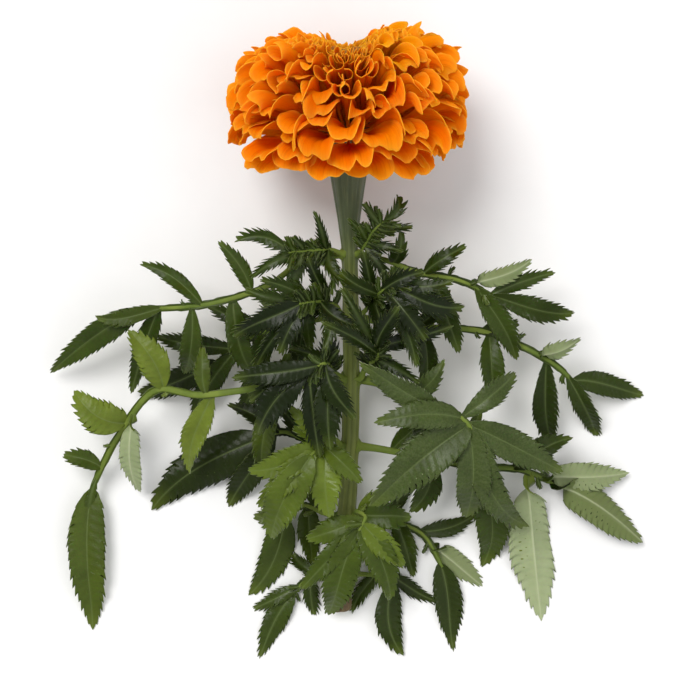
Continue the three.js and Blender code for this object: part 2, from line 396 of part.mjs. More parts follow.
flower.position.set(OFFSET[0], OFFSET[1], OFFSET[2]);
export default flower;
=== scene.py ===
# A picked orange African marigold lying on a pale table, seen from straight above.
# Lengths in the shape code are millimetres in the model's frame; meshes are written in metres.
import math

import bmesh
import bpy
import numpy as np
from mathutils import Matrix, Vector


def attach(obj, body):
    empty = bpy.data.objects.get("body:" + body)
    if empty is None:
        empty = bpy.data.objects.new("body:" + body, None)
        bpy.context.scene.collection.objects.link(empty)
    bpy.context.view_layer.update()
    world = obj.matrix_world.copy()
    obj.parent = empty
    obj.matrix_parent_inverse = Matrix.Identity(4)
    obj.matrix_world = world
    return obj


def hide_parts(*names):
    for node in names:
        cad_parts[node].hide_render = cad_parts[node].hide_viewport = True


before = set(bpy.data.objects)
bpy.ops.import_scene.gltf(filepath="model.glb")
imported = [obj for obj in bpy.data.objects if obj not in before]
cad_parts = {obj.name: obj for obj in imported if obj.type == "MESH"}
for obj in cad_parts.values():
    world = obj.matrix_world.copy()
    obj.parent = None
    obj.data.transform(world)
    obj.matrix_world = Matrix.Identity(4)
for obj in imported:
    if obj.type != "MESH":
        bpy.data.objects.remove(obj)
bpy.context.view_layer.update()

# ------------------------------------------------------------------ the model's own dimensions, as in part.mjs
D = math.pi / 180
TILT = 14 * D
SEAT_Z = 38.0
PRESS, PRESS_SHIFT, PRESS_LIFT = 5.0, 1.18, 1.02
STEM_LENGTH, STEM_END_R = 182.0, 3.7
SLOPE_TOP, SLOPE_END, SWAY = 14.0, 7.7, 3.0
DOME_R, DOME_W = 10.6, 3.0
NODES_AT = [44, 68, 92, 118, 145, 168]
OFFSET = np.array([0.0, 77.822, -0.132])
LEAF_LIFT = 0.62
SIN, COS = math.sin(TILT), math.cos(TILT)

WHORLS = [  # tip radius, tip height, tip direction, base angle, turn
    dict(r=36.0, w=-7.5, dir=150, base=112, turn=0.00),
    dict(r=42.5, w=-1.5, dir=136, base=103, turn=0.50),
    dict(r=45.5, w=5.5, dir=121, base=94, turn=0.75),
    dict(r=46.0, w=13.0, dir=106, base=85, turn=0.60),
    dict(r=44.5, w=20.3, dir=91, base=76, turn=0.05),
    dict(r=41.0, w=26.8, dir=76, base=67, turn=0.45),
    dict(r=36.0, w=32.0, dir=60, base=58, turn=0.80),
    dict(r=30.0, w=35.4, dir=45, base=49, turn=0.30),
    dict(r=23.6, w=36.6, dir=31, base=40, turn=0.70),
    dict(r=17.6, w=35.4, dir=19, base=31, turn=0.15),
    dict(r=12.4, w=32.6, dir=10, base=22, turn=0.55),
]
# what each ring's florets look like: how many, half width of the flattened blade, how far its sides curl up
# in radians behind the lip and at its edge, how far the lip bends back in degrees, notch depth, ruffle
FLORETS = [
    dict(n=14, half=8.4, curl=0.85, edge=0.25, back=30, notch=0.10, ruffle=0.75),
    dict(n=14, half=9.0, curl=1.05, edge=0.45, back=50, notch=0.12, ruffle=0.80),
    dict(n=21, half=8.0, curl=1.35, edge=0.80, back=66, notch=0.12, ruffle=0.70),
    dict(n=25, half=7.6, curl=1.60, edge=1.00, back=76, notch=0.11, ruffle=0.60),
    dict(n=28, half=7.2, curl=1.80, edge=1.20, back=80, notch=0.10, ruffle=0.55),
    dict(n=30, half=6.8, curl=1.95, edge=1.35, back=80, notch=0.09, ruffle=0.50),
    dict(n=33, half=6.2, curl=2.15, edge=1.50, back=76, notch=0.08, ruffle=0.42),
    dict(n=36, half=5.4, curl=2.35, edge=1.65, back=68, notch=0.07, ruffle=0.34),
    dict(n=56, half=4.0, curl=2.50, edge=1.80, back=58, notch=0.05, ruffle=0.22),
    dict(n=46, half=3.5, curl=2.60, edge=1.95, back=46, notch=0.04, ruffle=0.16),
    dict(n=36, half=3.1, curl=2.65, edge=2.10, back=34, notch=0.03, ruffle=0.12),
]


# ------------------------------------------------------------------ helpers
def smooth(a, b, v):
    t = np.clip((np.asarray(v, float) - a) / (b - a), 0, 1)
    return t * t * (3 - 2 * t)


def noise(n):
    s = np.sin(np.asarray(n, float) * 12.9898 + 4.1414) * 43758.5453
    return s - np.floor(s)


def soft(z, c):
    return (z + np.sqrt(z * z + c * c)) / 2


def unit(a):
    return a / np.maximum(np.linalg.norm(a, axis=-1, keepdims=True), 1e-9)


def place(x, v, w):
    """Head frame to model frame: x across, v towards the table, w along the head's axis."""
    x, v, w = np.broadcast_arrays(np.asarray(x, float), v, w)
    y = v * SIN + w * COS
    z = SEAT_Z + PRESS_LIFT - v * COS + w * SIN
    return np.stack([x, y, soft(z, PRESS) - PRESS_SHIFT], -1) + OFFSET


def lift(x, w):
    g = smooth(12, 34, w) ** 2
    return g * (-1.9 + 4.1 * smooth(1.5, 13, np.abs(x - 0.5)) + 1.4 * np.clip(x / 14, -1, 1))


def build(name, V, F, uv=None, tone=None, smooth_shade=True):
    """A mesh object from millimetre vertices and faces of four corners."""
    me = bpy.data.meshes.new(name)
    V = np.asarray(V, float)
    F = np.asarray(F, np.int32)
    me.vertices.add(len(V))
    me.vertices.foreach_set("co", (V * 0.001).astype(np.float32).ravel())
    me.loops.add(F.size)
    me.loops.foreach_set("vertex_index", F.ravel())
    me.polygons.add(len(F))
    me.polygons.foreach_set("loop_start", np.arange(0, F.size, F.shape[1], dtype=np.int32))
    me.update(calc_edges=True)
    me.validate()
    if uv is not None:
        layer = me.uv_layers.new(name="UVMap")
        layer.data.foreach_set("uv", np.asarray(uv, np.float32)[F.ravel()].ravel())
    if tone is not None:
        a = me.attributes.new("tone", "FLOAT_COLOR", "POINT")
        a.data.foreach_set("color", np.asarray(tone, np.float32).ravel())
    me.polygons.foreach_set("use_smooth", np.full(len(me.polygons), smooth_shade))
    me.update()
    ob = bpy.data.objects.new(name, me)
    bpy.context.scene.collection.objects.link(ob)
    return ob


class Pile:
    """Collects grids of faces into one mesh."""

    def __init__(self):
        self.V, self.F, self.uv, self.tone, self.n = [], [], [], [], 0

    def add(self, V, F, uv, tone):
        self.V.append(V)
        self.F.append(F + self.n)
        self.uv.append(uv)
        self.tone.append(tone)
        self.n += len(V)

    def done(self, name):
        return build(name, np.concatenate(self.V), np.concatenate(self.F), np.concatenate(self.uv), np.concatenate(self.tone))


def grid_faces(nu, nv, wrap=False):
    i, j = np.meshgrid(np.arange(nu - 1), np.arange(nv if wrap else nv - 1), indexing="ij")
    i, j = i.ravel(), j.ravel()
    k = (j + 1) % nv
    return np.stack([i * nv + j, (i + 1) * nv + j, (i + 1) * nv + k, i * nv + k], -1)


def normals_of(P):
    return unit(np.cross(np.gradient(P, axis=0), np.gradient(P, axis=1)))


def shell(pile, P, t_up, t_down, uv, tone, low=0.06):
    """A closed thin sheet round the middle surface P (nu, nv, 3). tone's last channel becomes 1 on the upper face."""
    nu, nv = P.shape[:2]
    P = P.copy()
    P[..., 2] = np.maximum(P[..., 2], low + np.maximum(np.asarray(t_up), np.asarray(t_down)))
    N = normals_of(P)
    A = P + N * np.asarray(t_up)[..., None]
    B = P - N * np.asarray(t_down)[..., None]
    for Q in (A, B):
        Q[..., 2] = np.maximum(Q[..., 2], 0.6 * low)
    top = grid_faces(nu, nv)
    n = nu * nv
    idx = np.arange(n).reshape(nu, nv)
    loop = np.concatenate([idx[:, 0], idx[-1, 1:], idx[-2::-1, -1], idx[0, -2:0:-1]])
    nxt = np.roll(loop, -1)
    side = np.stack([nxt, loop, loop + n, nxt + n], -1)
    F = np.concatenate([top, top[:, ::-1] + n, side])
    ta, tb = tone.reshape(n, 4).copy(), tone.reshape(n, 4).copy()
    ta[:, 3], tb[:, 3] = 1.0, 0.0
    pile.add(np.concatenate([A.reshape(n, 3), B.reshape(n, 3)]), F, np.tile(uv.reshape(n, 2), (2, 1)), np.concatenate([ta, tb]))


# ------------------------------------------------------------------ the head
def guide(W, s, dr=0.0, dw=0.0, ddir=0.0):
    b, d = W["base"] * D, (W["dir"] + ddir) * D
    p0 = np.array([(DOME_R - 0.6) * math.sin(b), DOME_W + (DOME_R * 0.92 - 0.6) * math.cos(b)])
    p3 = np.array([W["r"] + dr, W["w"] + dw])
    reach = float(np.linalg.norm(p3 - p0))
    p1 = p0 + np.array([math.sin(b), math.cos(b)]) * reach * 0.30
    p2 = p3 - np.array([math.sin(d), math.cos(d)]) * reach * 0.26
    q = 1 - s[:, None]
    s = s[:, None]
    at = q ** 3 * p0 + 3 * q * q * s * p1 + 3 * q * s * s * p2 + s ** 3 * p3
    ta = 3 * q * q * (p1 - p0) + 6 * q * s * (p2 - p1) + 3 * s * s * (p3 - p2)
    return at, np.arctan2(ta[:, 1], ta[:, 0])


def petal(pile, k, phi0, rnd, row, nu=25, nv=17):
    """One ray floret: a narrow tube that opens into a scoop whose lip bends back, ruffled and notched."""
    W, Q = WHORLS[k], FLORETS[k]
    if k > 7:
        nu, nv = 19, 11
    f = np.linspace(0, 1, 61)
    # the florets along the dip between the two shoulders are short narrow tubes
    dip = (1 - float(smooth(4, 16, abs(W["r"] * math.cos(phi0) - 1)))) * float(smooth(3.4, 6.2, k))
    far = float(smooth(-0.35, 0.45, math.sin(phi0))) * (k > 5)
    tube = k > 7 or dip > 0.45 or (k > 2 and rnd.random() < 0.22)
    dr = rnd.uniform(-1.5, 0.8) - (1.4 if row else 0.0) + (1.3 if k < 2 else 0.0)
    dw = rnd.uniform(-2.1, 2.1) + (1.8 if row else -1.4) * (1 if k > 1 else 0.4)
    if k > 7:
        dr = rnd.uniform(-0.8, 0.8) - (2.9 if row else 0.0)
        dw = rnd.uniform(-1.0, 1.0) + (0.2 if row else 0.0) + (-0.5, 0.4, 1.6)[k - 8]
    if k in (6, 7):
        dw -= 2.6 * dip * far
    at, ang = guide(W, f, dr, dw, rnd.uniform(-9, 9))
    step = np.linalg.norm(np.diff(at, axis=0), axis=1)
    back = Q["back"] * D * rnd.uniform(0.6, 1.3) * (0.62 + 0.5 * far if tube else 1)
    bend = rnd.uniform(0.66, 0.78)
    ang2 = ang - back * smooth(bend, 1.02, f)
    mid = (ang2[1:] + ang2[:-1]) / 2
    line = np.concatenate([[at[0]], at[0] + np.cumsum(np.stack([np.cos(mid), np.sin(mid)], -1) * step[:, None], 0)])
    # rows closer together towards the lip
    u = 1 - (1 - np.linspace(0, 1, nu)) ** 1.3
    v = np.sin(np.linspace(-1, 1, nv) * math.pi / 2 * 0.92) / math.sin(math.pi / 2 * 0.92)
    U, Vv = np.meshgrid(u, v, indexing="ij")
    notch = Q["notch"] * rnd.uniform(0.0, 1.3)
    n0 = rnd.uniform(-0.25, 0.25)
    ph = rnd.uniform(0, 6.28, 8)
    # the lip is rounded, in two or three lobes
    lobe = rnd.uniform(0.17, 0.26)
    if tube:
        lobe, notch = rnd.uniform(0.0, 0.05) + 0.15 * far, notch * 0.4
    e = 1 - lobe * (1 - np.sqrt(np.clip(1 - (0.97 * np.abs(v)) ** 2.3, 0, 1))) / 0.75 - notch * np.exp(-((v - n0) / 0.20) ** 2)
    e = e + 0.012 * np.sin(6.5 * v + ph[0]) * (k < 8)
    # one side often stands a little longer than the other
    e = e + rnd.uniform(-0.05, 0.05) * v
    if tube:
        # a tube's mouth faces outwards, so its outer side is the shorter one
        e = e - rnd.uniform(0.01, 0.07) * (1 - far) * (1 - v ** 2) - 0.02 - 0.03 * far
    S = U * (1 + (e[None, :] - 1) * smooth(0.35, 1, U))
    half = Q["half"] * rnd.uniform(0.78, 1.14) * (1 - 0.22 * dip * (k < 8))
    if tube and k < 8:
        half *= 1.06
    h = 1.30 + (half - 1.30) * smooth(0.20, 0.84, U)
    curl = Q["curl"] * rnd.uniform(0.82, 1.12)
    edge = Q["edge"] * rnd.uniform(0.6, 1.35)
    if tube:
        curl, edge = rnd.uniform(2.55, 2.85), rnd.uniform(2.25, 2.75) - 0.75 * far
        h = h * (1 + 0.22 * smooth(0.80, 1.0, U))
    alpha = 2.7 + (curl - 2.7) * smooth(0.12, 0.66, U)
    alpha = alpha + (edge - curl) * smooth(0.66, 1.0, U)
    # the sides roll outwards at the rim
    rho = (0.25 + 0.50 * rnd.random()) * smooth(0.60, 1.0, U) * (0.22 if tube else 1)
    psi = alpha * Vv * (1 - rho * Vv ** 4)
    dv = np.diff(Vv, axis=1)
    c, s_ = np.cos(psi), np.sin(psi)
    X = np.concatenate([np.zeros((nu, 1)), np.cumsum((c[:, 1:] + c[:, :-1]) / 2 * dv, 1)], 1) * h
    Z = np.concatenate([np.zeros((nu, 1)), np.cumsum((s_[:, 1:] + s_[:, :-1]) / 2 * dv, 1)], 1) * h
    m = nv // 2
    X, Z = X - X[:, m:m + 1], Z - Z[:, m:m + 1]
    ruffle = Q["ruffle"] * rnd.uniform(0.5, 1.6) * (0.45 if tube else 1)
    open_ = smooth(0.62, 1.0, U)
    Z = Z + ruffle * open_ * (np.sin(2.3 * math.pi * Vv * rnd.uniform(0.7, 1.2) + ph[2]) * (0.35 + 0.65 * Vv ** 2))
    Z = Z + 0.22 * ruffle * open_ ** 2 * np.sin(4.4 * math.pi * Vv + ph[3])
    # pleats that run along the blade, deepest in the outer rings
    pleat = (0.30 if k < 3 else 0.16) * (half / 7)
    Z = Z + pleat * smooth(0.30, 0.75, U) * np.cos(math.pi * (4 + (k < 3)) * Vv + ph[4]) * (1 - Vv ** 6)
    tw = rnd.uniform(-1, 1) * (26 if k < 2 else 50) * D * smooth(0.25, 1, U) * (1 - 0.4 * far)
    X, Z = X * np.cos(tw) - Z * np.sin(tw), X * np.sin(tw) + Z * np.cos(tw)
    X = X + rnd.uniform(-2.8, 2.8) * S ** 2 * (half / 7)
    r0 = np.interp(S, f, line[:, 0])
    w0 = np.interp(S, f, line[:, 1])
    a0 = np.interp(S, f, ang2)
    r = r0 - np.sin(a0) * Z
    w = w0 + np.cos(a0) * Z
    x = r * np.cos(phi0) - X * np.sin(phi0)
    vv = r * np.sin(phi0) + X * np.cos(phi0)
    P = place(x, vv, w + lift(x, w))
    t = 0.15 - 0.05 * U
    # mask of the thin rims, where the material paints a highlight
    rim_highlight = np.maximum(np.abs(Vv) ** 9, U ** 20)
    tone = np.zeros((nu, nv, 4))
    # over 1: yellower, as on the right-hand shoulder
    gold = float(smooth(0.0, 0.55, math.cos(phi0)) * smooth(4.5, 7.0, k) * (1 - smooth(9.2, 10.5, k))) * (1 - dip)
    tone[..., 0] = rnd.random() if rnd.random() > gold else 1.0 + rnd.uniform(0.35, 1.0) * gold
    tone[..., 1] = min(1.0, (k + 0.5 * rnd.random()) / 11.0 + 0.22 * dip - 0.10 * gold)
    tone[..., 2] = rim_highlight
    uv = np.stack([U, (Vv + 1) / 2], -1)
    shell(pile, P, t, t, uv, tone)


def directions(k, n):
    """Directions round the ring, closer together along the dip, where the florets are narrow."""
    phi = np.linspace(0, 2 * math.pi, 721)
    near = 1 - smooth(5, 18, np.abs(WHORLS[k]["r"] * np.cos(phi) - 1))
    dens = 1 + 0.85 * near * float(smooth(3.6, 6.5, k)) * (k < 8)
    cum = np.concatenate([[0], np.cumsum((dens[1:] + dens[:-1]) / 2)])
    return np.interp(((np.arange(n) + WHORLS[k]["turn"]) / n % 1.0) * cum[-1], cum, phi)


def make_head(mats):
    rnd = np.random.RandomState(5)
    count = 0
    for k in range(2):
        for j in range(FLORETS[k]["n"]):
            count += 1
            step = 2 * math.pi / FLORETS[k]["n"]
            phi = (j + WHORLS[k]["turn"]) * step + float(noise(k * 40 + j) - 0.5) * 0.16 * step
            pile = Pile()
            petal(pile, k, phi, rnd, j % 2)
            ob = pile.done(f"petal_{count:02d}")
            ob.data.materials.append(mats["petal"])
            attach(ob, "root")
            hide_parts(f"ray_floret_{count:02d}")
    for k in range(2, len(WHORLS)):
        n = FLORETS[k]["n"]
        step = 2 * math.pi / n
        pile = Pile()
        for j, phi in enumerate(directions(k, n)):
            petal(pile, k, phi + rnd.uniform(-0.16, 0.16) * step, rnd, j % 2)
        ob = pile.done(f"petal_ring_{k + 1:02d}")
        ob.data.materials.append(mats["petal"])
        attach(ob, "root")
        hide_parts(f"ray_whorl_{k + 1:02d}")


def make_disc(mats):
    """Small closed florets packed in a spiral at the middle."""
    rnd = np.random.RandomState(11)
    pile = Pile()
    n, segs = 84, 10
    for i in range(n):
        rr = 8.9 * math.sqrt((i + 0.5) / n)
        a = i * 2.39996 + rnd.uniform(-0.1, 0.1)
        top = 32.6 + 1.2 * (rr / 8.9) ** 2 + rnd.uniform(-1.3, 1.4)
        lean = 0.035 * rr
        size = rnd.uniform(0.85, 1.2)
        open_ = rnd.random() < 0.35
        prof = [(0.45, -13.0), (0.5, -7.0), (0.55, -4.0), (0.72, -2.0), (0.86, -1.0), (0.80, -0.4), (0.95 if open_ else 0.45, 0.2), (0.55 if open_ else 0.12, 0.35 if not open_ else -0.5), (0.05, 0.3 if not open_ else -1.2)]
        prof = np.array(prof)
        th = np.arange(segs) * 2 * math.pi / segs
        R, TH = np.meshgrid(prof[:, 0] * size, th, indexing="ij")
        H = np.repeat(prof[:, 1:2], segs, 1)
        star = 1 + 0.16 * np.cos(5 * TH) * (np.arange(len(prof)) >= 4)[:, None]
        R = R * star
        H = H + 0.25 * np.cos(5 * TH) * (np.arange(len(prof)) == 6)[:, None]
        cr = rr + lean * H
        x = cr * math.cos(a) + R * np.cos(TH)
        v = cr * math.sin(a) + R * np.sin(TH)
        w = top + H
        P = place(x, v, w + lift(x, w))
        F = grid_faces(len(prof), segs, wrap=True)
        # grid goes up and around; flip so that faces look outwards
        F = F[:, ::-1]
        tone = np.zeros((len(prof), segs, 4))
        tone[..., 0] = rnd.random()
        tone[..., 1] = rr / 8.9
        # height up the bud: the material paints its lower part dark as shade in the gaps between buds
        tone[..., 2] = np.clip((prof[:, 1] + 6) / 6.3, 0, 1)[:, None]
        uv = np.stack([np.repeat(np.linspace(0, 1, len(prof))[:, None], segs, 1), np.tile(th / 6.2832, (len(prof), 1))], -1)
        m = len(prof) * segs
        # end caps
        base = np.arange(segs)
        last = (len(prof) - 1) * segs + np.arange(segs)
        caps = []
        for ring, rev in ((base, True), (last, False)):
            for q in range(1, segs - 2, 2):
                c = [ring[0], ring[q], ring[q + 1], ring[q + 2]]
                caps.append(c[::-1] if rev else c)
        F = np.concatenate([F, np.array(caps)])
        pile.add(P.reshape(m, 3), F, uv.reshape(m, 2), tone.reshape(m, 4))
    ob = pile.done("disc_buds")
    ob.data.materials.append(mats["disc"])
    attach(ob, "root")
    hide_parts("disc_florets")


# ------------------------------------------------------------------ the stem
STEM_R = np.array([[0, 8.3], [3, 8.15], [9, 7.5], [20, 5.7], [31, 4.05], [38, 3.2], [41, 2.95], [44, 3.3], [48, 2.9], [64, 2.95], [68, 3.4], [72, 3.0],
                   [88, 3.1], [92, 3.55], [96, 3.15], [114, 3.2], [118, 3.65], [122, 3.25], [141, 3.3], [145, 3.75], [149, 3.35], [164, 3.45], [168, 3.9],
                   [172, 3.55], [182, 3.7]], float)


def stem_at(s):
    s = np.atleast_1d(np.asarray(s, float))
    a0, a1, n = SLOPE_TOP * D, SLOPE_END * D, 24
    i = np.arange(n)
    a = a0 + (a1 - a0) * ((i[None] + 0.5) / n) * s[:, None] / STEM_LENGTH
    y = -(np.cos(a) * s[:, None] / n).sum(1)
    z = SEAT_Z - (np.sin(a) * s[:, None] / n).sum(1)
    f = np.clip(s / STEM_LENGTH, 0, 1)
    x = SWAY * np.sin(f * 4.2) * f
    a = a0 + (a1 - a0) * f
    p = np.stack([x, y, z], -1)
    down = np.stack([np.zeros_like(a), np.sin(a), -np.cos(a)], -1)
    return p, down


def stem_radius(s):
    fine = np.linspace(-8, STEM_LENGTH + 8, 1981)
    r = np.interp(fine, STEM_R[:, 0], STEM_R[:, 1])
    k = np.exp(-0.5 * (np.arange(-14, 15) / 7.0) ** 2)
    r = np.convolve(np.pad(r, 14, mode="edge"), k / k.sum(), mode="valid")
    return np.interp(s, fine, r)


def make_stem(mats):
    pile = Pile()
    segs = 80
    s = np.concatenate([np.linspace(0, 60, 110), np.linspace(60.8, STEM_LENGTH, 165)])
    th = np.arange(segs) * 2 * math.pi / segs
    S, TH = np.meshgrid(s, th, indexing="ij")
    p, down = stem_at(s)
    R = stem_radius(S)
    # broad ribs on the cup, one for each bract that it grew from, then finer ridges down the stem
    cup = 1 - smooth(16, 44, S)
    turn = 0.004 * S
    ribs = 0.30 * cup * (np.abs(np.cos(5.5 * (TH + turn))) ** 0.7 - 0.6) * smooth(0, 5, S)
    ribs = ribs + 0.13 * (1 - cup * 0.6) * np.cos(9 * (TH + turn) + 0.5 * np.sin(S * 0.05))
    ribs = ribs + 0.05 * np.cos(21 * (TH + turn) + np.sin(S * 0.09))
    lump = 0.10 * np.sin(S * 0.31 + 2 * TH) * np.sin(S * 0.13) * (1 - cup)
    swell = 0
    for a in NODES_AT:
        swell = swell + np.exp(-((S - a) / 1.6) ** 2) * 0.25 * (0.5 + 0.5 * np.cos(2 * TH))
    R = R + ribs + lump + swell
    # the cut is a little slanted and rough
    endcut = smooth(STEM_LENGTH - 1.5, STEM_LENGTH, S)
    P = p[:, None, :] + R[..., None] * (np.cos(TH)[..., None] * np.array([1.0, 0, 0]) + np.sin(TH)[..., None] * down[:, None, :])
    P[..., 1] += endcut * (0.45 * np.sin(TH + 0.7) + 0.10 * np.sin(7 * TH))
    P = P + OFFSET
    P[..., 2] = np.maximum(P[..., 2], 0.03)
    nu = len(s)
    tone = np.zeros((nu, segs, 4))
    tone[..., 0] = S / STEM_LENGTH
    tone[..., 1] = np.clip(0.5 + ribs / 0.6, 0, 1)
    tone[..., 3] = 0
    F = grid_faces(nu, segs, wrap=True)
    V = P.reshape(-1, 3)
    uv = np.stack([S / STEM_LENGTH, TH / 6.2832], -1).reshape(-1, 2)
    # the cut face: rings towards the pith
    rings = [0.97, 0.86, 0.62, 0.36, 0.12]
    c, _ = stem_at(STEM_LENGTH)
    c = c[0] + OFFSET
    rimv = P[-1]
    for q, f in enumerate(rings):
        ring = c + (rimv - c) * f
        ring[:, 1] += (0.12 if q == 1 else 0.0) + (0.35 if q > 2 else 0.0) * (1 - f)
        V = np.concatenate([V, ring])
        t = np.zeros((segs, 4))
        t[:, 0], t[:, 1], t[:, 3] = 1.0, f, 1.0
        tone = np.concatenate([tone.reshape(-1, 4), t])
        uv = np.concatenate([uv, np.stack([np.cos(th) * f, np.sin(th) * f], -1)])
        a0 = (nu - 1) * segs if q == 0 else nu * segs + (q - 1) * segs
        b0 = nu * segs + q * segs
        j = np.arange(segs)
        k = (j + 1) % segs
        F = np.concatenate([F, np.stack([a0 + j, b0 + j, b0 + k, a0 + k], -1)])
    last = nu * segs + (len(rings) - 1) * segs
    F = np.concatenate([F, np.array([[last, last + q, last + q + 1, last + q + 2] for q in range(1, segs - 2, 2)])])
    # the receptacle over the cup, seen only between florets
    dome = [(8.3, 0.0), (9.6, 0.4), (10.3, 2.0), (DOME_R * math.sin(80 * D), DOME_W + DOME_R * 0.92 * math.cos(80 * D))]
    dome += [(DOME_R * math.sin(b * D), DOME_W + DOME_R * 0.92 * math.cos(b * D)) for b in (65, 50, 36, 22, 9)] + [(0.12, DOME_W + DOME_R * 0.92)]
    dome = np.array(dome[::-1])
    DR, DT = np.meshgrid(dome[:, 0], -th, indexing="ij")
    DP = place(DR * np.cos(DT), -DR * np.sin(DT) * -1, np.repeat(dome[:, 1:2], segs, 1))
    b0 = len(V)
    V = np.concatenate([V, DP.reshape(-1, 3)])
    t = np.zeros((len(dome), segs, 4))
    t[..., 1] = 0.5
    t[..., 2] = 1.0
    tone = np.concatenate([tone.reshape(-1, 4), t.reshape(-1, 4)])
    uv = np.concatenate([uv, np.zeros((len(dome) * segs, 2))])
    F = np.concatenate([F, grid_faces(len(dome), segs, wrap=True) + b0])
    F = np.concatenate([F, np.array([[b0, b0 + q + 2, b0 + q + 1, b0 + q] for q in range(1, segs - 2, 2)])])
    base = b0 + (len(dome) - 1) * segs
    j = np.arange(segs)
    k = (j + 1) % segs
    F = np.concatenate([F, np.stack([base + j, (segs - j) % segs, (segs - k) % segs, base + k], -1)])
    pile.add(V, F, uv, tone.reshape(-1, 4))
    # pointed teeth of the cup's rim
    rnd = np.random.RandomState(3)
    for j in range(11):
        phi = (j + 0.5) * 2 * math.pi / 11
        nu_, nv_ = 12, 7
        u, v = np.linspace(0, 1, nu_), np.linspace(-1, 1, nv_)
        U, Vv = np.meshgrid(u, v, indexing="ij")
        length = rnd.uniform(6.0, 7.5)
        wdt = 2.5 * (1 - smooth(0.45, 1.02, U) * 0.97)
        r = 7.9 + 0.9 * smooth(0, 0.6, U) + 1.0 * U ** 2 - 0.06 * Vv ** 2 * wdt
        h = -1.6 + U * length
        x = r * np.cos(phi + Vv * wdt / 8.6)
        vv = r * np.sin(phi + Vv * wdt / 8.6)
        Pt = place(x, vv, h)
        tn = np.zeros((nu_, nv_, 4))
        tn[..., 1] = 0.5 + 0.4 * np.cos(Vv * math.pi)
        m0 = len(pile.V)
        # the outer side faces away from the axis
        shell(pile, Pt[:, ::-1], 0.22, 0.22, np.stack([U * 0, Vv * 0], -1), tn)
        pile.tone[-1][:, 3] = 0.0
    ob = pile.done("stem_and_cup")
    ob.data.materials.append(mats["stem"])
    bm = bmesh.new()
    bm.from_mesh(ob.data)
    bmesh.ops.recalc_face_normals(bm, faces=bm.faces)
    bm.to_mesh(ob.data)
    bm.free()
    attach(ob, "root")
    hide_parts("stem")


